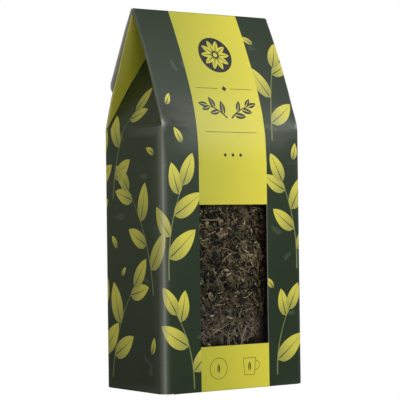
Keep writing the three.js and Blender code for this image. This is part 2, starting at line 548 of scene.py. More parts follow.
for name in ORDER:
    panel = panels[name]
    for v in panel.strip.bend_lines(BEND_FACET):
        drawing.line([(panel.first, v), (panel.last, v)])
    for after, (edge, way) in enumerate(((panel.first, 1), (panel.last, -1))):
        for radius in {TIGHT, corner_radii[name][after]}:
            for share in CORNER_SHARES:
                u = edge + way * radius * share
                drawing.line([(u, panel.strip.shift), (u, SHOULDER)])
for name, top in (("front", ROOF_END), ("back", BACK_ROOF_END)):
    panel = panels[name]
    heights = [SHOULDER + (top - SHOULDER) * i / END_FACETS for i in range(END_FACETS + 1)]
    heights[1:1] = [SHOULDER + rise for rise in EAR_LINES]
    for edge, way in ((panel.first, 1), (panel.last, -1)):
        for i in range(END_FACETS + 1):
            drawing.line([(edge + way * end_radius(v) * (1 - 2 * i / END_FACETS), v) for v in heights])
        for reach in WEAR_LINES:
            drawing.line([(edge + way * (end_radius(v) + reach), v) for v in heights])
drawing.line([(SHEET_START - half_d, SHOULDER), (SHEET_END, SHOULDER)])
for drop in EAR_LINES:
    drawing.line([(SHEET_START, SHOULDER - drop), (SHEET_END, SHOULDER - drop)])
columns = int((SHEET_END - SHEET_START) / GRID)
rows = int((FLAP_END - WALL_FOOT) / GRID)
grid_across = [SHEET_START + GRID * (i + 0.5) for i in range(columns)]
grid_up = [WALL_FOOT + GRID * (j + 0.5) for j in range(rows)]
drawing.spots((u, v) for u in grid_across for v in grid_up)
print(len(drawing.edges), "crease edges,", len(drawing.points), "points")

# %% [markdown]
# Then the cut lines: the window, the webs, the gussets and the flaps.

# %% Cut lines
WINDOW_WIDTH = 44 * MM
WINDOW_SHIFT = 0.5 * MM
WINDOW_MIDDLE = half_w + WINDOW_SHIFT
WINDOW_BOTTOM = 23 * MM
WINDOW_TOP = 96.2 * MM
WEB_STEPS = 12
FLAP_INSET = 0.6 * MM
FLAP_CORNER = 8 * MM
BASE_INSET = 0.2 * MM
FOOT_CLEAR = 0.25 * MM
ARC_STEPS = 10
window = (WINDOW_MIDDLE - WINDOW_WIDTH / 2, WINDOW_MIDDLE + WINDOW_WIDTH / 2)


def arc(u, v, radius, start, end, steps=ARC_STEPS):
    turns = [start + (end - start) * i / steps for i in range(steps + 1)]
    return [(u + radius * math.cos(t), v + radius * math.sin(t)) for t in turns]


def flap_outline():
    left = FLAP_INSET + FLAP_CORNER
    right = WIDTH - left
    top = FLAP_END - FLAP_CORNER
    return [
        (FLAP_INSET, ROOF_END),
        *arc(left, top, FLAP_CORNER, math.pi, math.pi / 2),
        *arc(right, top, FLAP_CORNER, math.pi / 2, 0),
        (WIDTH - FLAP_INSET, ROOF_END),
    ]


def base_flap_outline(name):
    """The back's flap lies inside, over the other three, which are mitred so that they don't overlap."""
    panel = panels[name]
    low = panel.strip.shift
    foot = panel.strip.foot
    mitre = 0 if name == "back" else TUCK_FLAP
    first = panel.first + foot_tab(name, 0) + BASE_INSET
    last = panel.last - foot_tab(name, 1) - BASE_INSET
    return [(first, foot), (first + mitre, low), (last - mitre, low), (last, foot)]


low_corners = [(u, WINDOW_BOTTOM) for u in window]
high_corners = [(u, WINDOW_TOP) for u in reversed(window)]
drawing.line(low_corners + high_corners, closed=True)
drawing.line(flap_outline())
for name in ORDER:
    panel = panels[name]
    drawing.line(base_flap_outline(name))
    for u, tab in ((panel.first, foot_tab(name, 0)), (panel.last, -foot_tab(name, 1))):
        drawing.line([(u, FOOT_CLEAR), (u + tab, FOOT_CLEAR), (u + tab, panel.strip.foot)])
web_heights = [SHOULDER + (WEB_TOP - SHOULDER) * i / WEB_STEPS for i in range(WEB_STEPS + 1)]
for name in ("left", "right"):
    drawing.line([(panels[name].first + web_reach(next_to(name, -1), v), v) for v in web_heights])
    drawing.line([(panels[name].last - web_reach(next_to(name, 1), v), v) for v in web_heights])
drawing.line([(SHEET_START - web_reach("back", v), v) for v in web_heights])
drawing.line([(SHEET_START - half_d, WEB_TOP), (SHEET_END, WEB_TOP)])
drawing.line([(-half_d, FRONT_WEB_TOP), (SHEET_END, FRONT_WEB_TOP)])
print("window", round(WINDOW_WIDTH / MM), "x", round((WINDOW_TOP - WINDOW_BOTTOM) / MM), "mm")

# %% [markdown]
# The cut lines only split the mesh. What is board and what is waste is decided by a rule for each region,
# so the same rule also says which strip a place folds with.

# %% Regions of the sheet
def inside(u, v, outline):
    hit = False
    for (u0, v0), (u1, v1) in zip(outline, outline[1:] + outline[:1]):
        if (v0 > v) != (v1 > v) and u < (u1 - u0) * (v - v0) / (v1 - v0) + u0:
            hit = not hit
    return hit


def region(u, v):
    """The panel that a place folds with, and whether it is web. None where the sheet is cut away."""
    if v <= SHOULDER:
        if not SHEET_START <= u <= SHEET_END:
            return None
        name = panel_at(u)
        if v < strips[name].foot:
            tab = at_corner(name, u) and v > FOOT_CLEAR
            return ("wall", False) if tab or inside(u, v, base_flap_outline(name)) else None
        cut = window[0] < u < window[1] and WINDOW_BOTTOM < v < WINDOW_TOP
        return None if cut else ("wall", False)
    for name, top in (("front", ROOF_END), ("back", BACK_ROOF_END)):
        panel = panels[name]
        if panel.first <= u <= panel.last:
            if v <= top:
                return name, False
            return (name, False) if name == "front" and inside(u, v, flap_outline()) else None
        reach = max(panel.first - u, u - panel.last)
        if v <= (FRONT_WEB_TOP if name == "front" else WEB_TOP) and reach <= min(web_reach(name, v), half_d):
            return name, True
    for name in ("left", "right"):
        if v <= WEB_TOP and gusset_margin(name, u, v) > 0:
            return name, False
    return None


print("the middle of the front roof folds with", region(WIDTH / 2, (SHOULDER + ROOF_END) / 2)[0])

# %% [markdown]
# ## The print
# The print is simple: sprigs of pointed leaves in yellow-green ink on a dark green ground, with small
# shadow leaves in a green only a little lighter than the ground, and a broad yellow-green band up the
# front. An image would blur close up, so every leaf is an outline on the flat drawing. A leaf is two half
# blades with a gap for the midrib.

# %% Leaves
LEAF_STEPS = 9
LEAF_FULLEST = 0.42
LEAF_BASE = 0.62
LEAF_WIDTH = 0.46
MIDRIB = 0.32 * MM
MIDRIB_MOST = 0.8


def turned(angle, along, aside):
    c = math.cos(angle)
    s = math.sin(angle)
    return along * c - aside * s, along * s + aside * c


def fullness(t):
    """Width of a blade along its length, as a share of its greatest width."""
    tip = LEAF_BASE * (1 - LEAF_FULLEST) / LEAF_FULLEST
    return (t / LEAF_FULLEST) ** LEAF_BASE * ((1 - t) / (1 - LEAF_FULLEST)) ** tip


def blade(root, angle, length, width, curl, gap, side):
    """Outline of a half blade, from the root up its outer edge to the tip and back along the midrib."""
    outer = []
    inner = []
    for i in range(LEAF_STEPS + 1):
        t = i / LEAF_STEPS
        wide = side * width / 2 * fullness(t)
        rib = side * min(gap * (1 - t), abs(wide) * MIDRIB_MOST)
        lean = curl * length * t * t
        for edge, aside in ((outer, wide), (inner, rib)):
            du, dv = turned(angle, length * t, lean + aside)
            edge.append((root[0] + du, root[1] + dv))
    return outer + inner[-2:0:-1]


def leaf(root, angle, length, width, curl, ink):
    """Two half blades, whose tone grows from the root to the tip."""
    grain = (Vector(root), Vector(turned(angle, 1 / length, 0)))
    for side in (-1, 1):
        drawing.ink(blade(root, angle, length, width, curl, MIDRIB, side), ink, grain)


print("a half blade has", len(blade((0, 0), 0, 1, LEAF_WIDTH, 0, 0, 1)), "points")

# %% [markdown]
# A sprig is a bowed stem that carries leaves by turns, smaller towards its tip, and one more leaf at the
# tip.

# %% Sprigs
STEM = 0.75 * MM
STEM_TAPER = (1.2, 0.6)
FIRST_LEAF = 0.22
LEAVES_RUN = 0.68
LEAF_SPREAD = math.radians(50)
SPREAD_TAPER = (1.1, 0.25)
LEAF_TAPER = 0.32
LEAF_SIZES = (0.9, 1.0, 1.1)
SIZE_STRIDE = 5
LEAF_CURL = 0.10
TIP_LEAF = 0.75
TIP_CURL = 0.05


def stem_spot(root, tip, bow, t):
    """A place on a bowed stem, and the way it heads there."""
    run = (tip[0] - root[0], tip[1] - root[1])
    peak = (root[0] + run[0] / 2 - bow * run[1], root[1] + run[1] / 2 + bow * run[0])
    spot = [(1 - t) ** 2 * a + 2 * t * (1 - t) * b + t * t * c for a, b, c in zip(root, peak, tip)]
    way = [(1 - t) * (b - a) + t * (c - b) for a, b, c in zip(root, peak, tip)]
    return spot, math.atan2(way[1], way[0])


def stem(root, tip, bow, ink):
    sides = ([], [])
    for i in range(LEAF_STEPS + 1):
        t = i / LEAF_STEPS
        spot, heading = stem_spot(root, tip, bow, t)
        for edge, sign in zip(sides, (-1, 1)):
            du, dv = turned(heading, 0, sign * STEM / 2 * (STEM_TAPER[0] - STEM_TAPER[1] * t))
            edge.append((spot[0] + du, spot[1] + dv))
    drawing.ink(sides[0] + sides[1][::-1], ink)


def sprig(root, tip, bow, leaves, length, ink="leaf"):
    stem(root, tip, bow, ink)
    for i in range(leaves):
        t = FIRST_LEAF + LEAVES_RUN * i / max(leaves - 1, 1)
        side = 1 if i % 2 else -1
        spot, heading = stem_spot(root, tip, bow, t)
        size = length * (1 - LEAF_TAPER * t) * LEAF_SIZES[(i * SIZE_STRIDE + leaves) % len(LEAF_SIZES)]
        angle = heading + side * LEAF_SPREAD * (SPREAD_TAPER[0] - SPREAD_TAPER[1] * t)
        leaf(spot, angle, size, size * LEAF_WIDTH, -side * LEAF_CURL, ink)
    spot, heading = stem_spot(root, tip, bow, 1)
    size = length * TIP_LEAF
    leaf(spot, heading, size, size * LEAF_WIDTH, TIP_CURL, ink)


print("a stem is", round(STEM * STEM_TAPER[0] / MM, 2), "mm wide at its root")

# %% [markdown]
# The sprigs are placed by hand on the front, the left side, the back and the closing flap. The right side
# has the left side's sprigs, mirrored, so that the carton looks finished from every side. Some leaves run
# round the upright crease, as print does. Shadow leaves are strewn over the whole sheet with a fixed seed.

# %% Sprigs on the panels
# Root and tip in mm, bow, number of leaves, length of a leaf in mm
SIDE_SPRIGS = [
    ((-49, 6), (-28, 54), 0.16, 3, 25),
    ((-10, 50), (-32, 104), -0.15, 4, 24),
    ((-47, 100), (-30, 146), 0.14, 3, 21),
]
FRONT_SPRIGS = [
    ((18, 2), (8, 40), -0.14, 3, 23),
    ((3, 58), (12, 106), 0.12, 4, 24),
    ((72, 6), (80, 40), 0.13, 2, 21),
    ((86, 62), (77, 108), -0.12, 4, 23),
    ((71, 130), (81, 172), 0.10, 3, 22),
]
BACK_SPRIGS = [
    ((-136, 6), (-126, 54), 0.12, 4, 24),
    ((-123, 70), (-134, 118), -0.12, 4, 24),
    ((-134, 134), (-127, 168), 0.10, 3, 21),
    ((-58, 8), (-67, 54), -0.12, 4, 24),
    ((-69, 76), (-59, 122), 0.12, 4, 23),
    ((-60, 142), (-66, 172), -0.10, 3, 21),
]
FLAP_SPRIGS = [((15, 248), (9, 222), 0.12, 3, 18), ((74, 248), (80, 222), -0.12, 3, 18)]
# Root in mm, angle, length in mm
LOOSE_LEAVES = [
    (12, 128, 1.9, 9), (5, 148, 0.9, 7), (70, 52, 2.2, 8), (84, 120, 1.2, 9),
    (-12, 20, 1.1, 9), (-44, 74, 2.0, 8), (-8, 122, 2.5, 8), (-40, 60, 0.6, 6),
    (72, 186, 2.4, 8), (-131, 62, 1.0, 8), (-62, 64, 2.0, 8), (-64, 132, 0.8, 7),
]
LOOSE_CURL = 0.18
SHADOW_LEAVES = 70
SHADOW_SEED = 11
SHADOW_LENGTH = (5, 9)
SHADOW_WIDTH = 0.5
SHADOW_CURL = 0.1
SHADOW_BELLY = 0.2
SHADOW_MARGINS = (4 * MM, 8 * MM)

pen = random.Random(SHADOW_SEED)
for _ in range(SHADOW_LEAVES):
    at = (pen.uniform(SHEET_START, SHEET_END), pen.uniform(SHADOW_MARGINS[0], ROOF_END - SHADOW_MARGINS[1]))
    size = pen.uniform(*SHADOW_LENGTH) * MM
    heading = pen.uniform(0, 2 * math.pi)
    drawing.ink(blade(at, heading, size, size * SHADOW_WIDTH, SHADOW_CURL, -size * SHADOW_BELLY, 1), "shadow")
for u, v, angle, length in LOOSE_LEAVES:
    leaf((u * MM, v * MM), angle, length * MM, length * LEAF_WIDTH * MM, LOOSE_CURL, "leaf")
sprigs = SIDE_SPRIGS + FRONT_SPRIGS + BACK_SPRIGS + FLAP_SPRIGS
for (ru, rv), (tu, tv), bow, leaves, length in sprigs:
    sprig((ru * MM, rv * MM), (tu * MM, tv * MM), bow, leaves, length * MM)
for (ru, rv), (tu, tv), bow, leaves, length in SIDE_SPRIGS:
    sprig((WIDTH - ru * MM, rv * MM), (WIDTH - tu * MM, tv * MM), -bow, leaves, length * MM)
print(len(sprigs) + len(SIDE_SPRIGS), "sprigs,", len(drawing.outlines), "outlines of ink")

# %% [markdown]
# The band covers the sprigs that run under it. Its ornaments are plain shapes in dark ink, and each is a
# small function of its place and size, because the back repeats them.

# %% Ornaments
RULE = 0.28 * MM
ICON_LINE = 0.26 * MM
RING_STEPS = 36
ROSETTE_STEPS = 48
EYE_STEPS = 16
PETALS = 10
PETAL = (0.2, 0.66, 0.3)
ROSETTE_EYE = 0.13
LAUREL_ROOT = 0.08
LAUREL_TIP = 0.72
LAUREL_BOW = 0.14
LAUREL_LEAVES = 4
MUG_HANDLE = (0.5, 0.06, 0.36)
MUG_HALVES = (0.56, 0.44, 0.6)
MUG_LEAF = (0.33, 0.66, 0.24)


def rectangle(u0, v0, u1, v1, ink):
    drawing.ink([(u0, v0), (u1, v0), (u1, v1), (u0, v1)], ink)


def rule(u, v, length):
    rectangle(u - length / 2, v - RULE / 2, u + length / 2, v + RULE / 2, "dark")


def lozenge(u, v, size):
    drawing.ink([(u - size, v), (u, v - size), (u + size, v), (u, v + size)], "dark")


def disc(middle, radius, ink, steps):
    drawing.ink(arc(*middle, radius, 0, 2 * math.pi * (1 - 1 / steps), steps - 1), ink)


def ring(u, v, radius):
    disc((u, v), radius, "dark", RING_STEPS)
    disc((u, v), radius - ICON_LINE, "lime", RING_STEPS)


def rosette(u, v, radius):
    """Petals on a dark disc, each with a start, a length and a width, and an eye in the middle."""
    disc((u, v), radius, "dark", ROSETTE_STEPS)
    start, length, width = [radius * share for share in PETAL]
    for i in range(PETALS):
        angle = 2 * math.pi * i / PETALS
        du, dv = turned(angle, start, 0)
        leaf((u + du, v + dv), angle, length, width, 0, "lime")
    disc((u, v), radius * ROSETTE_EYE, "lime", EYE_STEPS)


def laurel(u, v, half, rise, size):
    """Two bowed sprays that spring from the middle."""
    for side in (-1, 1):
        root = (u + side * LAUREL_ROOT * half, v - rise / 2)
        tip = (u + side * LAUREL_TIP * half, v + rise / 4)
        sprig(root, tip, side * LAUREL_BOW, LAUREL_LEAVES, size, "dark")


def mug(u, v, size):
    """A tapered mug in outline, with a ring behind it for a handle and a leaf on it."""
    out, up, radius = [size * share for share in MUG_HANDLE]
    ring(u + out, v + up, radius)
    rim, foot, half = [size * share for share in MUG_HALVES]
    for inset, ink in ((0, "dark"), (ICON_LINE, "lime")):
        wide = rim - inset
        narrow = foot - inset
        low = v - half + inset
        high = v + half - inset
        drawing.ink([(u - narrow, low), (u + narrow, low), (u + wide, high), (u - wide, high)], ink)
    drop, length, width = [size * share for share in MUG_LEAF]
    leaf((u, v - drop), math.pi / 2, length, width, 0, "dark")


print("a rosette of", PETALS, "petals, a laurel of", 2 * (LAUREL_LEAVES + 1), "leaves")

# %% [markdown]
# From the top: the rosette, two short rules with a lozenge between them, the laurel just above the
# shoulder, a long rule, a row of lozenges, and at the foot a ring and a mug, each with a leaf. The front
# and the back share this layout.

# %% The band
ROSETTE_AT = 178 * MM
ROSETTE_RADIUS = 10.5 * MM
SHORT_RULE_AT = 158 * MM
SHORT_RULE_OUT = 11 * MM
SHORT_RULE_LENGTH = 14 * MM
RULE_LOZENGE = 1.6 * MM
LAUREL_AT = 146 * MM
LAUREL_HALF = 18 * MM
LAUREL_RISE = 9 * MM
LAUREL_LEAF = 8 * MM
LONG_RULE_AT = 134 * MM
LONG_RULE_LENGTH = 33 * MM
LOZENGES_AT = 122 * MM
LOZENGE_STEP = 5 * MM
ROW_LOZENGE = 1.1 * MM
FOOT_ROW = 11.5 * MM
RING_OUT = 11 * MM
RING_RADIUS = 5.6 * MM
RING_LEAF = (9 * MM, 5 * MM, 1.8 * MM)
MUG_OUT = 9 * MM
MUG_SIZE = 7.5 * MM


def band(left, right, top):
    rectangle(left, panels["front"].strip.shift, right, top, "lime")


def ornaments(middle):
    rosette(middle, ROSETTE_AT, ROSETTE_RADIUS)
    for side in (-1, 1):
        rule(middle + side * SHORT_RULE_OUT, SHORT_RULE_AT, SHORT_RULE_LENGTH)
    lozenge(middle, SHORT_RULE_AT, RULE_LOZENGE)
    laurel(middle, LAUREL_AT, LAUREL_HALF, LAUREL_RISE, LAUREL_LEAF)
    rule(middle, LONG_RULE_AT, LONG_RULE_LENGTH)
    for step in (-1, 0, 1):
        lozenge(middle + step * LOZENGE_STEP, LOZENGES_AT, ROW_LOZENGE)
    ring(middle - RING_OUT, FOOT_ROW, RING_RADIUS)
    foot, length, width = RING_LEAF
    leaf((middle - RING_OUT, foot), math.pi / 2, length, width, 0, "dark")
    mug(middle + MUG_OUT, FOOT_ROW, MUG_SIZE)


band(*window, FLAP_END)
back_middle = (panels["back"].first + panels["back"].last) / 2
band(back_middle - WINDOW_WIDTH / 2, back_middle + WINDOW_WIDTH / 2, BACK_ROOF_END)
for middle in (WINDOW_MIDDLE, back_middle):
    ornaments(middle)
print(len(drawing.outlines), "outlines of ink in all")

# %% [markdown]
# ## Folding it up
# Ink wears off first where the board is bent, so how worn a place is goes along as an attribute for the
# materials. So does the place along a leaf, whose tone grows from its stem to its tip. The wear attribute
# also carries painted highlights: a pale band down the soft front-left crease, and a pale streak along each
# gusset's rolled edge.

# %% Worn ink and growing tones
WALL_WEAR = [(0, 0.9 * MM, 0.8)]
# Painted highlight down the soft front-left crease: a bright core and broad tails, as bells of middle, width
# and height.
SOFT_CREASE_HIGHLIGHT = [(-0.4 * MM, 1.0 * MM, 2.0), (-2.2 * MM, 2.8 * MM, 2.2), (0, 3.0 * MM, 0.4)]
ROOF_WEAR = [(0, 0.7 * MM, 2.2)]
EAR_WEAR = [(0, 1.6 * MM, 6.0)]
EAR_RISE = 1.5 * MM
TURNED_INK = 0.5 * MM
LEAF_START = 0.35
LEAF_GROWN = 0.75


def fading(reach, bells):
    """Paleness that falls away from a crease, from wear and from the painted highlight, as the sum of bells
    of some middle, width and height.
    """
    return sum(most * math.exp(-(((reach - middle) / width) ** 2)) for middle, width, most in bells)


def wear(name, u, v):
    # On a gusset the value is a painted highlight: a pale streak along the rolled edge just before the
    # crease.
    if name in ("left", "right"):
        return crease_roll(name, u, v)
    edges = [edge for panel in panels.values() for edge in (panel.first, panel.last)]
    reach = min(abs(u - edge) for edge in edges)
    ear = fading(math.hypot(reach, v - SHOULDER - EAR_RISE), EAR_WEAR)
    if v > SHOULDER:
        return fading(reach, ROOF_WEAR) + ear
    # The soft front-left crease also gets a painted highlight: a pale band down its middle, where its round
    # would shine.
    return max(fading(reach, WALL_WEAR), fading(u, SOFT_CREASE_HIGHLIGHT)) + ear


def face_ink(name, middle, web, ids):
    """The webs are the band's colour, but the front roof's own colour runs on round its turned ends."""
    if web:
        panel = panels[name]
        reach = max(panel.first - middle.x, middle.x - panel.last)
        return "green" if name == "front" and reach < TURNED_INK else "lime"
    return drawing.inks[max(ids)] if ids else "green"


def growth(ids, corner):
    """How far a triangle's corner is from its leaf's stem towards the tip. A stem itself is at nought."""
    grain = drawing.grains[max(ids)] if ids else None
    if not grain:
        return 0.0
    root, way = grain
    return LEAF_START + (1 - LEAF_START) * smooth((corner - root).dot(way) / LEAF_GROWN)


print("wear at a wall's crease", round(wear("wall", WIDTH, SHOULDER / 2), 2))

# %% [markdown]
# The drawing is triangulated, waste is dropped, and each corner goes to its folded place. A corner that two
# panels share above the shoulder is made once for each, because they fold it to different places.

# %% Triangulate and fold
TOUCH = 2e-4
places = []
normals = []
wears_and_highlights = []
faces = []
inks = []
growths = []


def fold_sheet():
    spots, _, triangles, _, _, inked = delaunay_2d_cdt(
        drawing.points, drawing.edges, drawing.outlines, 0, TOUCH, True
    )
    numbers = {}
    for triangle, ids in zip(triangles, inked):
        flat = [spots[i] * MM for i in triangle]
        middle = sum(flat, Vector((0, 0))) / 3
        found = region(middle.x, middle.y)
        if not found:
            continue
        name, web = found
        face = []
        for i, (u, v) in zip(triangle, flat):
            folds_with = "wall" if v <= SHOULDER + TOUCH * MM else name
            if (i, folds_with) not in numbers:
                numbers[i, folds_with] = len(places)
                places.append(((u, v), folded_spot(folds_with, u, v)))
                normals.append(folded_normal(folds_with, u, v))
                wears_and_highlights.append(wear(folds_with, u, v))
            face.append(numbers[i, folds_with])
        faces.append(face)
        inks.append(face_ink(name, middle, web, ids))
        growths.extend(growth(ids, corner) for corner in flat)


fold_sheet()
print(len(places), "points and", len(faces), "triangles on the printed side")

# %% [markdown]
# The Solidify modifier could thicken the sheet, but here the normals of the fold are already known. So the
# inside is the same mesh one thickness further in, and a rim closes the two along every cut edge. The rim
# and the inside are bare grey board. The fold's own normals make flat panels shade flat right up to their
# creases.

# %% Board with two faces and a rim
BOARD = 0.5 * MM


def cut_edges(faces):
    """Edges that have board on one side only, in the direction that their triangle walks them."""
    edges = {}
    for face in faces:
        for a, b in zip(face, face[1:] + face[:1]):
            if (b, a) in edges:
                del edges[(b, a)]
            else:
                edges[(a, b)] = True
    return list(edges)


def board_mesh(name):
    count = len(places)
    outer = [spot for _, spot in places]
    inner = [spot - BOARD * normal for spot, normal in zip(outer, normals)]
    behind = [[i + count for i in reversed(face)] for face in faces]
    rims = [[b, a, a + count, b + count] for a, b in cut_edges(faces)]
    mesh = bpy.data.meshes.new(name)
    mesh.from_pydata(outer + inner, [], faces + behind + rims, shade_flat=False)
    grounds = inks + ["board"] * (len(behind) + len(rims))
    mesh.polygons.foreach_set("material_index", [INKS.index(ink) for ink in grounds])
    flat = mesh.uv_layers.new(name="flat_sheet")
    for loop in mesh.loops:
        u, v = places[loop.vertex_index % count][0]
        flat.data[loop.index].uv = (u / WIDTH, v / WIDTH)
    # Wear at the creases, together with the painted highlights, goes along for the materials.
    worn = mesh.attributes.new("worn", "FLOAT", "POINT")
    worn.data.foreach_set("value", wears_and_highlights + [0.0] * count)
    grown = mesh.attributes.new("grown", "FLOAT", "CORNER")
    grown.data.foreach_set("value", growths + [0.0] * (len(mesh.loops) - len(growths)))
    mesh.normals_split_custom_set(corner_normals(mesh, count, len(faces)))
    return mesh


def corner_normals(mesh, count, printed):
    found = []
    for polygon in mesh.polygons:
        for vertex in polygon.vertices:
            if polygon.index < printed:
                found.append(normals[vertex])
            elif polygon.index < 2 * printed:
                found.append(-normals[vertex - count])
            else:
                found.append(polygon.normal)
    return found


def stand(name, mesh, materials):
    piece = bpy.data.objects.new(name, mesh)
    for material in materials:
        mesh.materials.append(material)
    bpy.context.collection.objects.link(piece)
    return piece


print(len(cut_edges(faces)), "cut edges")

# %% [markdown]
# ## Materials
# Colours are written as the values seen on a screen and turned to linear light here. A few helpers keep the
# node trees short: most of them add one node, set or link its inputs, and hand back an output.

# %% Node helpers
def colour(red, green, blue):
    """Linear light from the values seen on a screen, by the sRGB curve."""

    def to_linear(value):
        share = value / 255
        return share / 12.92 if share <= 0.04045 else ((share + 0.055) / 1.055) ** 2.4

    return (to_linear(red), to_linear(green), to_linear(blue), 1.0)


def add(tree, kind, inputs=None, **settings):
    node = tree.nodes.new(kind)
    for key, value in settings.items():
        setattr(node, key, value)
    for key, value in (inputs or {}).items():
        if isinstance(value, bpy.types.NodeSocket):
            tree.links.new(value, node.inputs[key])
        else:
            node.inputs[key].default_value = value
    return node


def group(name, kind, inputs, outputs):
    tree = bpy.data.node_groups.new(name, kind)
    for direction, sockets in (("INPUT", inputs), ("OUTPUT", outputs)):
        for socket, socket_type in sockets:
            tree.interface.new_socket(socket, in_out=direction, socket_type=socket_type)
    return tree, tree.nodes.new("NodeGroupInput"), tree.nodes.new("NodeGroupOutput")


def mixed(tree, share, first, second):
    """Colour mix. The mix node keeps its colours in sockets 6 and 7, and its result in output 2."""
    node = add(tree, "ShaderNodeMix", {0: share, 6: first, 7: second}, data_type="RGBA")
    return node.outputs[2]


def ranged(tree, value, low, high, new_low, new_high):
    inputs = {"Value": value, "From Min": low, "From Max": high, "To Min": new_low, "To Max": new_high}
    return add(tree, "ShaderNodeMapRange", inputs).outputs["Result"]


def math_node(tree, operation, first, second):
    return add(tree, "ShaderNodeMath", {0: first, 1: second}, operation=operation).outputs[0]


def noise_node(tree, place, scale, detail):
    return add(tree, "ShaderNodeTexNoise", {"Vector": place, "Scale": scale, "Detail": detail}).outputs["Fac"]


def material_tree(name):
    material = bpy.data.materials.new(name)
    material.use_nodes = True
    tree = material.node_tree
    return material, tree, tree.nodes["Principled BSDF"]


def covered_material(name, cover_group, values, gloss, relief):
    """A material that a group colours, roughens and embosses. A value may be a function that adds nodes."""
    material, tree, surface = material_tree(name)
    inputs = {key: value(tree) if callable(value) else value for key, value in values.items()}
    cover = add(tree, "ShaderNodeGroup", inputs, node_tree=cover_group).outputs
    strength, depth = relief
    bump = add(tree, "ShaderNodeBump", {"Height": cover["Height"], "Strength": strength, "Distance": depth})
    tree.links.new(cover["Color"], surface.inputs["Base Color"])
    tree.links.new(cover["Roughness"], surface.inputs["Roughness"])
    tree.links.new(bump.outputs["Normal"], surface.inputs["Normal"])
    surface.inputs["Specular IOR Level"].default_value = gloss
    return material


print("middle grey is", round(colour(128, 128, 128)[0], 3), "in linear light")

# %% [markdown]
# One node group gives every ink the same board under it: a fine fibre, a broad unevenness of the ink, and a
# paler tone where it is worn and where a highlight is painted on the soft crease and the gussets' rolled
# edges. Each ink then places the group with its own values.

# %% Printed board
FIBRE_SCALE = 900
FIBRE_DETAIL = 3.0
BLOTCH_SCALE = 45
BLOTCH_DETAIL = 2.0
NOISE = (0.3, 0.7)
NOISE_CORE = (0.35, 0.65)
WEAR_AND_HIGHLIGHT_GRAIN = (0.85, 1.0)
INK_ROUGHNESS = (0.32, 0.44)

printed, ends, result = group(
    "Printed board",
    "ShaderNodeTree",
    [("Ink", "NodeSocketColor"), ("Rubbed", "NodeSocketColor"), ("Rubbing", "NodeSocketFloat"),
     ("Unevenness", "NodeSocketFloat")],
    [("Color", "NodeSocketColor"), ("Roughness", "NodeSocketFloat"), ("Height", "NodeSocketFloat")],
)
place = add(printed, "ShaderNodeTexCoord").outputs["Object"]
fibre = noise_node(printed, place, FIBRE_SCALE, FIBRE_DETAIL)
blotch = noise_node(printed, place, BLOTCH_SCALE, BLOTCH_DETAIL)
spread = ranged(printed, blotch, *NOISE, -1.0, 1.0)
uneven = math_node(printed, "MULTIPLY", spread, ends.outputs["Unevenness"])
tone = math_node(printed, "ADD", uneven, 1.0)
tinted = add(printed, "ShaderNodeVectorMath", {0: ends.outputs["Ink"], "Scale": tone}, operation="SCALE")
# The worn attribute holds wear and the painted highlights.
worn = add(printed, "ShaderNodeAttribute", attribute_name="worn").outputs["Fac"]
patchy_wear_and_highlight = math_node(printed, "MULTIPLY", worn, ranged(printed, fibre, *NOISE_CORE, *WEAR_AND_HIGHLIGHT_GRAIN))
rub_and_highlight = math_node(printed, "MULTIPLY", patchy_wear_and_highlight, ends.outputs["Rubbing"])
shown = mixed(printed, rub_and_highlight, tinted.outputs[0], ends.outputs["Rubbed"])
printed.links.new(shown, result.inputs["Color"])
printed.links.new(ranged(printed, fibre, *NOISE, *INK_ROUGHNESS), result.inputs["Roughness"])
printed.links.new(fibre, result.inputs["Height"])
print("group", printed.name, "with", len(printed.nodes), "nodes")

# %% [markdown]
# The band's ink is not the same all over: it runs from a duller yellow-green on its left to a clear one on
# its right, and the flat-sheet map says how far across the band a place is. A leaf's ink runs from a dull
# stem to a bright tip by the attribute that was stored for it. The ornaments have a dark ink of their own.

# %% The inks
FIBRE_RELIEF = (0.06, 0.04 * MM)
INK_GLOSS = 0.5
GREEN = colour(32, 51, 25)
# The rubbed tones are also the colour of the painted highlight on the soft crease and the gussets' rolled
# edges.
GREEN_RUBBED_AND_HIGHLIT = colour(170, 174, 160)
SHADOW_GREEN = colour(66, 78, 56)
STEM_INK = colour(128, 136, 80)
LEAF_INK = colour(232, 224, 88)
ORNAMENT = colour(26, 25, 15)
LIME_LEFT = colour(203, 201, 62)
LIME_RIGHT = colour(244, 233, 74)
LIME_RUBBED_AND_HIGHLIT = colour(226, 220, 150)
BARE_BOARD = colour(220, 217, 210)


def band_ink(tree):
    flat = add(tree, "ShaderNodeUVMap", uv_map="flat_sheet").outputs["UV"]
    across = add(tree, "ShaderNodeSeparateXYZ", {0: flat}).outputs["X"]
    behind = math_node(tree, "LESS_THAN", across, -DEPTH / WIDTH)
    along = math_node(tree, "ADD", across, math_node(tree, "MULTIPLY", behind, (WIDTH + DEPTH) / WIDTH))
    share = ranged(tree, along, window[0] / WIDTH, window[1] / WIDTH, 0.0, 1.0)
    return mixed(tree, share, LIME_LEFT, LIME_RIGHT)


def leaf_ink(tree):
    grown = add(tree, "ShaderNodeAttribute", attribute_name="grown").outputs["Fac"]
    return mixed(tree, grown, STEM_INK, LEAF_INK)


def board_material(name, ink, rubbed_and_highlit, rubbing_and_highlight, unevenness):
    values = {"Ink": ink, "Rubbed": rubbed_and_highlit, "Rubbing": rubbing_and_highlight, "Unevenness": unevenness}
    return covered_material(name, printed, values, INK_GLOSS, FIBRE_RELIEF)


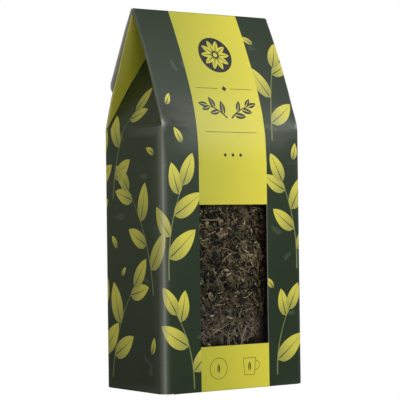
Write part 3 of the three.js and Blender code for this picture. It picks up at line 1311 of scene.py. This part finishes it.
# Name, ink, tone where it is rubbed and where a highlight is painted, how much it pales there, how uneven it
# is
INK_LOOKS = {
    "green": ("green ink", GREEN, GREEN_RUBBED_AND_HIGHLIT, 0.18, 0.05),
    "shadow": ("shadow leaf ink", SHADOW_GREEN, GREEN_RUBBED_AND_HIGHLIT, 0.18, 0.06),
    "leaf": ("leaf ink", leaf_ink, LIME_RUBBED_AND_HIGHLIT, 0.3, 0.04),
    "lime": ("band ink", band_ink, LIME_RUBBED_AND_HIGHLIT, 0.3, 0.02),
    "dark": ("ornament ink", ORNAMENT, GREEN_RUBBED_AND_HIGHLIT, 0.18, 0.05),
    "board": ("bare board", BARE_BOARD, BARE_BOARD, 0.0, 0.04),
}
board_materials = {ink: board_material(*look) for ink, look in INK_LOOKS.items()}
carton = stand("carton_sheet", board_mesh("carton_sheet"), [board_materials[ink] for ink in INKS])
print(carton.name, len(carton.data.polygons), "faces")

# %% [markdown]
# ## The pouch of tea
# The pouch is a pillow of clear film. It is lofted like its solid: an outline that is walked from the
# middle of the foot over the side to the middle of the top, and carried round a squared ellipse. The leaf
# fills it to just under the film.

# %% The pouch's form
POUCH_HALF_WIDTH = 34.4 * MM
POUCH_HALF_DEPTH = 24 * MM
POUCH_GAP = 0.3 * MM
POUCH_FOOT = 2 * PLY + POUCH_GAP
POUCH_HEIGHT = 122 * MM
POUCH_FOOT_RADIUS = 15 * MM
POUCH_TOP_RADIUS = 18 * MM
POUCH_SQUARENESS = 3.2
POUCH_NARROWING = 0.31
POUCH_FULL = 100 * MM
POUCH_CLIMB = (0.02, 0.96)
POUCH_FEEL = 1e-3

pouch_line = Strip(0.0, POUCH_FOOT, math.pi / 2)
pouch_line.walk(POUCH_HALF_DEPTH - POUCH_FOOT_RADIUS)
pouch_line.walk(POUCH_FOOT_RADIUS * math.pi / 2, -math.pi / 2)
pouch_line.walk(POUCH_HEIGHT - POUCH_FOOT_RADIUS - POUCH_TOP_RADIUS)
pouch_line.walk(POUCH_TOP_RADIUS * math.pi / 2, -math.pi / 2)
pouch_line.walk(POUCH_HALF_DEPTH - POUCH_TOP_RADIUS)


def pouch_spot(around, climb):
    """A place on the pouch: an angle round it, and a share of the way from the foot to the top."""
    radius, height, _ = pouch_line.at(climb * pouch_line.walked)
    c = math.cos(around)
    s = math.sin(around)
    reach = (abs(c) ** POUCH_SQUARENESS + abs(s) ** POUCH_SQUARENESS) ** (-1 / POUCH_SQUARENESS)
    low = max(0.0, 1 - (height - POUCH_FOOT) / POUCH_FULL)
    wide = POUCH_HALF_WIDTH / POUCH_HALF_DEPTH * (1 - POUCH_NARROWING * low * low)
    return Vector((radius * reach * wide * c, radius * reach * s, height))


def pouch_mesh(name, sides, levels, sink):
    """The pouch's surface, sunk by an amount that can differ from place to place."""
    spots = []
    for j in range(levels + 1):
        climb = POUCH_CLIMB[0] + POUCH_CLIMB[1] * j / levels
        for i in range(sides):
            around = 2 * math.pi * i / sides
            spot = pouch_spot(around, climb)
            along = pouch_spot(around + POUCH_FEEL, climb) - spot
            up = pouch_spot(around, climb + POUCH_FEEL) - spot
            out = along.cross(up).normalized()
            spots.append(spot - out * sink(spot))
    cells = []
    for j in range(levels):
        for i in range(sides):
            a = j * sides + i
            b = j * sides + (i + 1) % sides
            cells.append((a, b, b + sides, a + sides))
    cells.append(tuple(range(sides - 1, -1, -1)))
    cells.append(tuple(range(levels * sides, (levels + 1) * sides)))
    mesh = bpy.data.meshes.new(name)
    mesh.from_pydata(spots, [], cells, shade_flat=False)
    return mesh


print("pouch line", round(pouch_line.walked / MM), "mm from foot to top")

# %% [markdown]
# Dry leaf is many things: rolled needles, torn flakes, bits of pale stalk and crumbs. Each kind is modelled
# a few times at unit length with about twenty faces, and then scattered. Rolled leaf and stalks are thin
# crooked tubes.

# %% Rolled leaf and stalks
NEEDLE_RINGS = 6
NEEDLE_SIDES = 4
NEEDLE_BOW = 0.07
NEEDLE_STRAY = (0.02, 0.03)
NEEDLE_WIDTHS = (0.018, 0.045)
NEEDLE_TAPER = 0.7
NEEDLE_VARY = (0.6, 1.3)
NEEDLE_FLAT = (0.5, 0.9)
NEEDLE_TWIST = 0.6
STALK_RINGS = 5
STALK_SIDES = 5
STALK_BOW = 0.08
STALK_WIDTH = 0.024
STALK_VARY = (0.8, 1.2)
STALK_FLAT = 0.8


def tube(line, widths, sides, flat, twist):
    spots = []
    cells = []
    for j, ((x, y, z), width) in enumerate(zip(line, widths)):
        for i in range(sides):
            angle = 2 * math.pi * i / sides + twist * j
            aside = math.cos(angle) * width
            lift = math.sin(angle) * width * flat
            spots.append((x, y + aside, z + lift))
            if j:
                a = (j - 1) * sides + i
                b = (j - 1) * sides + (i + 1) % sides
                cells.append((a, b, b + sides, a + sides))
    cells.append(tuple(range(sides - 1, -1, -1)))
    cells.append(tuple(range(len(spots) - sides, len(spots))))
    return spots, cells


def either_way(rng, most):
    return rng.uniform(-most, most)


def needle(rng):
    bow = either_way(rng, NEEDLE_BOW)
    line = []
    widths = []
    for j in range(NEEDLE_RINGS):
        t = j / (NEEDLE_RINGS - 1)
        aside = bow * math.sin(math.pi * t) + either_way(rng, NEEDLE_STRAY[0])
        line.append((t - 0.5, aside, either_way(rng, NEEDLE_STRAY[1])))
        width = NEEDLE_WIDTHS[0] + NEEDLE_WIDTHS[1] * math.sin(math.pi * t) ** NEEDLE_TAPER
        widths.append(width * rng.uniform(*NEEDLE_VARY))
    flat = rng.uniform(*NEEDLE_FLAT)
    return tube(line, widths, NEEDLE_SIDES, flat, either_way(rng, NEEDLE_TWIST))


def stalk(rng):
    bow = either_way(rng, STALK_BOW)
    shares = [j / (STALK_RINGS - 1) for j in range(STALK_RINGS)]
    line = [(t - 0.5, bow * math.sin(math.pi * t), 0.0) for t in shares]
    widths = [STALK_WIDTH * rng.uniform(*STALK_VARY) for _ in shares]
    return tube(line, widths, STALK_SIDES, STALK_FLAT, 0.0)


print("needles with", NEEDLE_RINGS, "rings, stalks with", STALK_RINGS)

# %% [markdown]
# A flake is a small grid that is ragged at random, curled across and bent along. Its underside is the same
# grid a little lower, and a border closes the two.

# %% Torn flakes
FLAKE_GRID = (4, 3)
FLAKE_CURL = (0.4, 1.6)
FLAKE_BEND = 0.7
FLAKE_THICK = 0.035
FLAKE_WIDTH = 0.62
FLAKE_RAGGED = (0.07, 0.05)


def flake_cells(columns, rows):
    half = columns * rows
    cells = []
    for i in range(columns - 1):
        for j in range(rows - 1):
            a = i * rows + j
            cells.append((a, a + rows, a + rows + 1, a + 1))
            cells.append((half + a, half + a + 1, half + a + rows + 1, half + a + rows))
    border = [i * rows for i in range(columns)] + [half - rows + j for j in range(1, rows)]
    border += [i * rows + rows - 1 for i in range(columns - 2, -1, -1)] + list(range(rows - 2, 0, -1))
    return cells + [(b, a, a + half, b + half) for a, b in zip(border, border[1:] + border[:1])]


def flake(rng):
    columns, rows = FLAKE_GRID
    curl = rng.uniform(*FLAKE_CURL)
    bend = either_way(rng, FLAKE_BEND)
    spots = []
    for side in (1, -1):
        for i in range(columns):
            for j in range(rows):
                x = i / (columns - 1) - 0.5 + either_way(rng, FLAKE_RAGGED[0])
                y = (j / (rows - 1) - 0.5) * FLAKE_WIDTH * (1 - abs(x)) + either_way(rng, FLAKE_RAGGED[1])
                if side == -1:
                    x, y = spots[i * rows + j][:2]
                spots.append((x, y, curl * y * y + bend * x * x + side * FLAKE_THICK / 2))
    return spots, flake_cells(columns, rows)


print("flakes with", len(flake_cells(*FLAKE_GRID)), "faces")

# %% [markdown]
# A crumb is a squashed icosahedron whose corners stray. Any three corners that lie near each other are a
# face.

# %% Crumbs
GOLDEN = (1 + math.sqrt(5)) / 2
CRUMB_EDGE = 1.1
CRUMB_LENGTH = 0.5
CRUMB_WIDTH = (0.25, 0.45)
CRUMB_HEIGHT = (0.2, 0.35)
CRUMB_VARY = (0.75, 1.2)


crumb_corners = []
for a in (-1, 1):
    for b in (-GOLDEN, GOLDEN):
        crumb_corners += [Vector(spot).normalized() for spot in ((0, a, b), (a, b, 0), (b, 0, a))]


def crumb_cells():
    """Triangles of corners that lie near each other, each turned outwards."""
    cells = []
    for i, j, k in itertools.combinations(range(len(crumb_corners)), 3):
        a, b, c = crumb_corners[i], crumb_corners[j], crumb_corners[k]
        if max((a - b).length, (a - c).length, (b - c).length) < CRUMB_EDGE:
            out = (b - a).cross(c - a).dot(a) > 0
            cells.append((i, j, k) if out else (i, k, j))
    return cells


def crumb(rng):
    squash = (CRUMB_LENGTH, rng.uniform(*CRUMB_WIDTH), rng.uniform(*CRUMB_HEIGHT))
    spots = []
    for corner in crumb_corners:
        spots.append(tuple(x * share * rng.uniform(*CRUMB_VARY) for x, share in zip(corner, squash)))
    return spots, crumb_cells()


print("crumbs with", len(crumb_cells()), "faces")

# %% [markdown]
# Each kind gets a shelf: a collection of variants that the scatter can pick from.

# %% Shelves of leaf
VARIANTS = 6
FIRST_SHELF_SEED = 21
MAKERS = {"needles": needle, "flakes": flake, "stalks": stalk, "crumbs": crumb}


def shelf_of(make, seed):
    rng = random.Random(seed)
    shelf = bpy.data.collections.new(make.__name__)
    for i in range(VARIANTS):
        spots, cells = make(rng)
        mesh = bpy.data.meshes.new(f"{make.__name__}_{i}")
        mesh.from_pydata(spots, [], cells, shade_flat=False)
        shelf.objects.link(bpy.data.objects.new(mesh.name, mesh))
    return shelf


shelves = {name: shelf_of(make, seed) for seed, (name, make) in enumerate(MAKERS.items(), FIRST_SHELF_SEED)}

# %% [markdown]
# One Geometry Nodes group scatters any of them. Its inputs say which shelf to pick from, how densely, how
# large and how deep. A helper makes a random value for each point.

# %% Scatter group
scatter, ends, result = group(
    "Scatter leaf",
    "GeometryNodeTree",
    [("Geometry", "NodeSocketGeometry"), ("Kinds", "NodeSocketCollection"), ("Density", "NodeSocketFloat"),
     ("Seed", "NodeSocketInt"), ("Smallest", "NodeSocketFloat"), ("Largest", "NodeSocketFloat"),
     ("Deepest", "NodeSocketFloat"), ("Tilt", "NodeSocketFloat"), ("Material", "NodeSocketMaterial")],
    [("Geometry", "NodeSocketGeometry")],
)
FIRST_SOCKETS = {"FLOAT_VECTOR": 0, "FLOAT": 2, "INT": 4}


def chance(low, high, data_type, offset):
    """A random value for each point. Each type has its own pair of sockets. The offset keeps draws apart."""
    seed = math_node(scatter, "ADD", ends.outputs["Seed"], float(offset))
    first = FIRST_SOCKETS[data_type]
    inputs = {"Seed": seed, first: low, first + 1: high}
    node = add(scatter, "FunctionNodeRandomValue", inputs, data_type=data_type)
    return next(socket for socket in node.outputs if socket.enabled)


print("group", scatter.name, "with", len(scatter.interface.items_tree), "sockets")

# %% [markdown]
# The group spreads points over the core, sinks each one a little, turns it at random about the surface, and
# hands each piece of leaf its own tone. The core's own attribute says where the window shows it.

# %% From points to leaf
showing = add(scatter, "GeometryNodeInputNamedAttribute", {"Name": "showing"}, data_type="FLOAT")
density = math_node(scatter, "MULTIPLY", showing.outputs["Attribute"], ends.outputs["Density"])
spread = add(scatter, "GeometryNodeDistributePointsOnFaces",
             {"Mesh": ends.outputs["Geometry"], "Density": density, "Seed": ends.outputs["Seed"]})
deep = math_node(scatter, "MULTIPLY", chance(0.0, ends.outputs["Deepest"], "FLOAT", 1), -1.0)
down = add(scatter, "ShaderNodeVectorMath", {0: spread.outputs["Normal"], "Scale": deep}, operation="SCALE")
sunk = add(scatter, "GeometryNodeSetPosition",
           {"Geometry": spread.outputs["Points"], "Offset": down.outputs[0]})
toned = add(scatter, "GeometryNodeStoreNamedAttribute",
            {"Geometry": sunk.outputs[0], "Name": "tone", "Value": chance(0.0, 1.0, "FLOAT", 2)},
            data_type="FLOAT", domain="POINT")
tilt = ends.outputs["Tilt"]
back = math_node(scatter, "MULTIPLY", tilt, -1.0)
least = add(scatter, "ShaderNodeCombineXYZ", {0: back, 1: back}).outputs[0]
most = add(scatter, "ShaderNodeCombineXYZ", {0: tilt, 1: tilt, 2: 2 * math.pi}).outputs[0]
turn = add(scatter, "FunctionNodeEulerToRotation", {0: chance(least, most, "FLOAT_VECTOR", 3)})
facing = add(scatter, "FunctionNodeRotateRotation",
             {0: spread.outputs["Rotation"], 1: turn.outputs[0]}, rotation_space="LOCAL")
shelf = add(scatter, "GeometryNodeCollectionInfo",
            {"Collection": ends.outputs["Kinds"], "Separate Children": True, "Reset Children": True})
placed = add(scatter, "GeometryNodeInstanceOnPoints", {
    "Points": toned.outputs[0], "Instance": shelf.outputs[0], "Pick Instance": True,
    "Instance Index": chance(0, VARIANTS - 1, "INT", 4), "Rotation": facing.outputs[0],
    "Scale": chance(ends.outputs["Smallest"], ends.outputs["Largest"], "FLOAT", 5)})
real = add(scatter, "GeometryNodeRealizeInstances", {0: placed.outputs[0]})
painted = add(scatter, "GeometryNodeSetMaterial",
              {"Geometry": real.outputs[0], "Material": ends.outputs["Material"]})
scatter.links.new(painted.outputs[0], result.inputs[0])
print("group", scatter.name, "with", len(scatter.nodes), "nodes")

# %% [markdown]
# Dry leaf runs from black-green over olive or brown to tan. Each bit was handed a tone, which says how pale
# it is, and the last digits of that tone say whether it is olive or brown. Towards the foot of the pouch the
# leaf is paled by a painted reflection of the film.

# %% Dry leaf
GRAIN_SCALE = 1400
GRAIN_DETAIL = 3.0
GRAIN_TONE = 0.18
LEAF_ROUGHNESS = (0.5, 0.8)
HUES = 7.0
HUE_PATCH = 0.4
HUE_RANGE = (0.1, 0.9)
TONE_RANGE = (0.15, 1.15)
PATCH_SCALE = 75
PATCH_DETAIL = 1.0
PATCH_TONE = 0.15
# Painted reflection of the film: the leaf pales towards this tint lower down the pouch.
PAINTED_FILM_REFLECTION = colour(128, 116, 104)
FILM_REFLECTION_HEIGHTS = (46 * MM, 34 * MM)

dry, ends, result = group(
    "Dry leaf",
    "ShaderNodeTree",
    [("Dark", "NodeSocketColor"), ("Olive", "NodeSocketColor"), ("Brown", "NodeSocketColor"),
     ("Pale", "NodeSocketColor"), ("Pale Share", "NodeSocketFloat"), ("Dust", "NodeSocketFloat")],
    [("Color", "NodeSocketColor"), ("Roughness", "NodeSocketFloat"), ("Height", "NodeSocketFloat")],
)
place = add(dry, "ShaderNodeTexCoord").outputs["Object"]
grain = noise_node(dry, place, GRAIN_SCALE, GRAIN_DETAIL)
patch = noise_node(dry, place, PATCH_SCALE, PATCH_DETAIL)
tone = add(dry, "ShaderNodeAttribute", attribute_name="tone").outputs["Fac"]
speckled = math_node(dry, "ADD", tone, ranged(dry, grain, *NOISE, -GRAIN_TONE, GRAIN_TONE))
patched = math_node(dry, "ADD", speckled, ranged(dry, patch, *NOISE, -PATCH_TONE, PATCH_TONE))
hue = math_node(dry, "FRACT", math_node(dry, "MULTIPLY", tone, HUES), 0.0)
mingled = math_node(dry, "ADD", hue, ranged(dry, patch, *NOISE_CORE, -HUE_PATCH, HUE_PATCH))
browned = ranged(dry, mingled, *HUE_RANGE, 0.0, 1.0)
middle = mixed(dry, browned, ends.outputs["Olive"], ends.outputs["Brown"])
lower = mixed(dry, ranged(dry, patched, *TONE_RANGE, 0.0, 1.0), ends.outputs["Dark"], middle)
pale_from = math_node(dry, "SUBTRACT", 1.0, ends.outputs["Pale Share"])
upper = mixed(dry, ranged(dry, speckled, pale_from, 1.0, 0.0, 1.0), lower, ends.outputs["Pale"])
height = add(dry, "ShaderNodeSeparateXYZ", {0: place}).outputs["Z"]
# Painted reflection of the film, strongest at the foot of the pouch.
painted_reflection = math_node(dry, "MULTIPLY", ranged(dry, height, *FILM_REFLECTION_HEIGHTS, 0.0, 1.0), ends.outputs["Dust"])
dry.links.new(mixed(dry, painted_reflection, upper, PAINTED_FILM_REFLECTION), result.inputs["Color"])
dry.links.new(ranged(dry, grain, *NOISE, *LEAF_ROUGHNESS), result.inputs["Roughness"])
dry.links.new(grain, result.inputs["Height"])
print("group", dry.name, "with", len(dry.nodes), "nodes")

# %% [markdown]
# Each kind of leaf places that group with its own tones. Stalks use a paler range, and the core's dark tones
# are painted shade: the leaf deep in the pouch, seen between the bits on top.

# %% Leaf materials
LEAF_GLOSS = 0.15
LEAF_RELIEF = (0.5, 0.2 * MM)
FILM_REFLECTION_MOST = 0.28
LEAF_TONES = (colour(20, 17, 11), colour(108, 108, 79), colour(134, 116, 87), colour(188, 172, 138))
STALK_TONES = (colour(120, 98, 74), colour(160, 140, 104), colour(170, 142, 108), colour(205, 180, 148))
# The core's tones are painted shade for the leaf deep in the pouch.
CORE_PAINTED_SHADE_TONES = (colour(16, 14, 10), colour(30, 28, 19), colour(34, 27, 19), colour(52, 45, 32))


def leaf_material(name, tones, pale_share, film_reflection):
    values = dict(zip(("Dark", "Olive", "Brown", "Pale"), tones))
    values["Pale Share"] = pale_share
    values["Dust"] = film_reflection
    return covered_material(name, dry, values, LEAF_GLOSS, LEAF_RELIEF)


# Name, tones from dark to pale, share that is pale, painted film reflection
LEAF_LOOKS = {
    "needles": ("rolled leaf", LEAF_TONES, 0.05, FILM_REFLECTION_MOST),
    "flakes": ("torn leaf", LEAF_TONES, 0.08, FILM_REFLECTION_MOST),
    "stalks": ("stalk", STALK_TONES, 0.3, FILM_REFLECTION_MOST),
    "crumbs": ("leaf crumbs", LEAF_TONES, 0.08, FILM_REFLECTION_MOST),
    "core": ("leaf in the shade", CORE_PAINTED_SHADE_TONES, 0.2, 0.0),
}
leaf_materials = {name: leaf_material(*look) for name, look in LEAF_LOOKS.items()}
print(len(leaf_materials), "leaf materials")

# %% [markdown]
# A lumpy core, dark with painted shade, fills the pouch just under the film, and the leaf lies on it.

# %% The core
CORE_SINK = 1.5 * MM
CORE_LUMP = 0.6 * MM
LUMP_SIZE = 4 * MM
CORE_FACETS = (160, 130)
SHOWN_HEIGHTS = (25.6 * MM, 108 * MM)
HIDDEN_SHARE = 0.06


def core_sink(spot):
    return CORE_SINK + CORE_LUMP * noise.noise(spot / LUMP_SIZE)


def shown_share(spot):
    """Most leaf goes where the window shows it."""
    return 1.0 if spot.y < 0 and SHOWN_HEIGHTS[0] < spot.z < SHOWN_HEIGHTS[1] else HIDDEN_SHARE


core_mesh = pouch_mesh("tea_core", *CORE_FACETS, core_sink)
show = core_mesh.attributes.new("showing", "FLOAT", "POINT")
show.data.foreach_set("value", [shown_share(spot.co) for spot in core_mesh.vertices])
core = stand("tea_core", core_mesh, [leaf_materials["core"]])
print(core.name, len(core_mesh.polygons), "faces")

# %% [markdown]
# The scatter is dense where the window shows it and sparse elsewhere. Each kind becomes one plain mesh, and
# the modifier and the shelves are then removed.

# %% Scattered leaf
FIRST_SCATTER_SEED = 31
# Bits to a square metre, smallest and largest length, greatest depth, tilt
SCATTERS = {
    "needles": (360000, 3.5 * MM, 10.0 * MM, 0.5 * MM, 0.2),
    "flakes": (230000, 2.0 * MM, 5.4 * MM, 0.4 * MM, 0.5),
    "stalks": (9000, 7.0 * MM, 14.0 * MM, -0.8 * MM, 0.1),
    "crumbs": (160000, 0.7 * MM, 1.8 * MM, 0.2 * MM, 0.8),
}


def scattered(name, seed):
    values = dict(zip(("Density", "Smallest", "Largest", "Deepest", "Tilt"), SCATTERS[name]))
    values.update({"Kinds": shelves[name], "Seed": seed, "Material": leaf_materials[name]})
    modifier = core.modifiers.new("scatter", "NODES")
    modifier.node_group = scatter
    for socket in scatter.interface.items_tree:
        if socket.in_out == "INPUT" and socket.name in values:
            modifier[socket.identifier] = values[socket.name]
    depsgraph = bpy.context.evaluated_depsgraph_get()
    mesh = bpy.data.meshes.new_from_object(
        core.evaluated_get(depsgraph), preserve_all_data_layers=True, depsgraph=depsgraph
    )
    core.modifiers.remove(modifier)
    mesh.name = f"leaf_{name}"
    return stand(mesh.name, mesh, [])


leaves = [scattered(name, seed) for seed, name in enumerate(SCATTERS, FIRST_SCATTER_SEED)]
for piece in leaves:
    print(piece.name, sum(len(polygon.vertices) - 2 for polygon in piece.data.polygons), "triangles")
for shelf in shelves.values():
    for variant in list(shelf.objects):
        bpy.data.objects.remove(variant)
    bpy.data.collections.remove(shelf)

# %% [markdown]
# ## The film
# The film is thin enough to see only by its reflections, so it is a bright surface that is nearly all
# transparent, least so where it is seen at a slant. Its soft creases are in its form.

# %% Film
FILM_SLACK = 0.35 * MM
FILM_CREASE = 9 * MM
FILM_STRETCH = 2.2
FILM_FACETS = (120, 90)
FILM_ALPHA = (0.004, 0.06)
FILM_TINT = colour(235, 236, 234)
FILM_ROUGHNESS = (0.12, 0.26)
HAZE_SCALE = 120
HAZE_DETAIL = 2.0
SLANT_BLEND = 0.25


def film_sink(spot):
    up = spot.z / (FILM_STRETCH * FILM_CREASE)
    return FILM_SLACK * (1 + noise.noise(Vector((spot.x / FILM_CREASE, spot.y / FILM_CREASE, up))))


def film_material():
    material, tree, surface = material_tree("clear film")
    place = add(tree, "ShaderNodeTexCoord").outputs["Object"]
    haze = noise_node(tree, place, HAZE_SCALE, HAZE_DETAIL)
    slant = add(tree, "ShaderNodeLayerWeight", {"Blend": SLANT_BLEND}).outputs["Facing"]
    tree.links.new(ranged(tree, slant, 0.0, 1.0, *FILM_ALPHA), surface.inputs["Alpha"])
    tree.links.new(ranged(tree, haze, *NOISE, *FILM_ROUGHNESS), surface.inputs["Roughness"])
    surface.inputs["Base Color"].default_value = FILM_TINT
    surface.inputs["Metallic"].default_value = 1.0
    # The sprigs are placed on the front, the left side, the back and the closing flap. The right side has the
    # left side's sprigs, mirrored, so that the carton looks finished from every side. Some leaves run round
    # the upright crease, as print does. Shadow leaves are strewn over the whole sheet with a fixed seed.
    return material


film = stand("pouch_film", pouch_mesh("pouch_film", *FILM_FACETS, film_sink), [film_material()])
print(film.name, len(film.data.polygons), "faces")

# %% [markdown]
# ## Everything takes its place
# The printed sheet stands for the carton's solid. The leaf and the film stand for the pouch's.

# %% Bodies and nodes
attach(carton, "root")
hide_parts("carton")
for piece in [core, *leaves]:
    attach(piece, "root")
    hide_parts("tea_pouch")
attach(film, "root")
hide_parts("tea_pouch")
print(len([carton, core, *leaves, film]), "pieces in place")

# %% [markdown]
# ## Studio
# The table is pale and hidden from the camera: it only throws light back up. The room is white for the
# camera and dim for the object, so that the dark ink keeps its depth.

# %% Table and room
TABLE_SIZE = 3.0
TABLE_TONES = (colour(164, 164, 162), colour(176, 176, 174))
TABLE_ROUGHNESS = 0.7
CLOUD_SCALE = 6.0
ROOM_LIGHT = 0.06

table_mesh = bpy.data.meshes.new("table")
edge = TABLE_SIZE / 2
table_corners = [(-edge, -edge, 0), (edge, -edge, 0), (edge, edge, 0), (-edge, edge, 0)]
table_mesh.from_pydata(table_corners, [], [(0, 1, 2, 3)])
table_material, tree, surface = material_tree("table")
cloud = add(tree, "ShaderNodeTexNoise", {"Scale": CLOUD_SCALE}).outputs["Fac"]
tree.links.new(mixed(tree, cloud, *TABLE_TONES), surface.inputs["Base Color"])
surface.inputs["Roughness"].default_value = TABLE_ROUGHNESS
table = stand("table", table_mesh, [table_material])
table.visible_camera = False

world = bpy.data.worlds.new("room")
world.use_nodes = True
tree = world.node_tree
seen = add(tree, "ShaderNodeLightPath").outputs["Is Camera Ray"]
room = mixed(tree, seen, (ROOM_LIGHT, ROOM_LIGHT, ROOM_LIGHT, 1), (1, 1, 1, 1))
tree.links.new(room, tree.nodes["Background"].inputs["Color"])
scene = bpy.context.scene
scene.world = world
scene.view_settings.view_transform = "Standard"
print("table", TABLE_SIZE, "m square")

# %% [markdown]
# The key light stands high in front of the carton, with a smaller one near the window and one more to the
# front left. A high light at the right gives the roof its sheen. A low fill at the left reaches into the
# gable, and two lights behind serve the back.

# %% Lights
AIM = Vector((0, 0, 0.1))
WHITE = (1, 1, 1)
LEAFY = (0.95, 1.0, 0.7)
# Name, place, size, watts, tint
LIGHTS = [
    ("key", (0.12, -1.05, 0.62), 0.5, 2.1, WHITE),
    ("near", (0.24, -0.47, 0.32), 0.25, 0.9, WHITE),
    ("front", (-0.40, -0.92, 0.33), 0.35, 1.8, WHITE),
    ("sheen", (0.55, -0.65, 0.97), 0.5, 1.25, WHITE),
    ("fill", (-0.98, -0.50, 0.20), 0.5, 1.78, WHITE),
    ("back", (-0.62, 0.80, 0.38), 0.9, 1.0, LEAFY),
    ("rear", (0.40, 1.10, 0.55), 0.7, 5.5, WHITE),
]


def soft_light(name, place, size, watts, tint):
    lamp = bpy.data.lights.new(name, "AREA")
    lamp.energy = watts
    lamp.size = size
    lamp.color = tint
    light = bpy.data.objects.new(name, lamp)
    light.location = place
    light.rotation_euler = (AIM - light.location).to_track_quat("-Z", "Y").to_euler()
    bpy.context.collection.objects.link(light)


for light in LIGHTS:
    soft_light(*light)
print(len(LIGHTS), "soft lights")

# %% [markdown]
# The camera stands about 0.9 m away to the front left, a little lower than the middle of the carton. Its
# place, its turn and its focal length were fitted together to the carton's corners in a photograph.

# %% Camera
CAMERA_PLACE = Vector((-0.5088, -0.7110, 0.0879))
CAMERA_TURN = math.radians(-35.49)
CAMERA_TILT = math.radians(-0.73)
CAMERA_ROLL = math.radians(-0.73)
SENSOR = 36.0
FOCAL_PIXELS = 1636.2
IMAGE_PIXELS = 400
FOCAL_SHARE = FOCAL_PIXELS / IMAGE_PIXELS

forward = Vector((
    -math.sin(CAMERA_TURN) * math.cos(CAMERA_TILT),
    math.cos(CAMERA_TURN) * math.cos(CAMERA_TILT),
    -math.sin(CAMERA_TILT),
))
level = Vector((math.cos(CAMERA_TURN), math.sin(CAMERA_TURN), 0))
upright = level.cross(forward)
right = math.cos(CAMERA_ROLL) * level + math.sin(CAMERA_ROLL) * upright
up = math.cos(CAMERA_ROLL) * upright - math.sin(CAMERA_ROLL) * level
lens = bpy.data.cameras.new("camera")
lens.sensor_width = SENSOR
lens.lens = SENSOR * FOCAL_SHARE
camera = bpy.data.objects.new("camera", lens)
camera.matrix_world = Matrix((right, up, -forward)).transposed().to_4x4()
camera.location = CAMERA_PLACE
bpy.context.collection.objects.link(camera)
scene.camera = camera
print("camera", round(CAMERA_PLACE.length, 2), "m away, lens", round(lens.lens, 1), "mm")
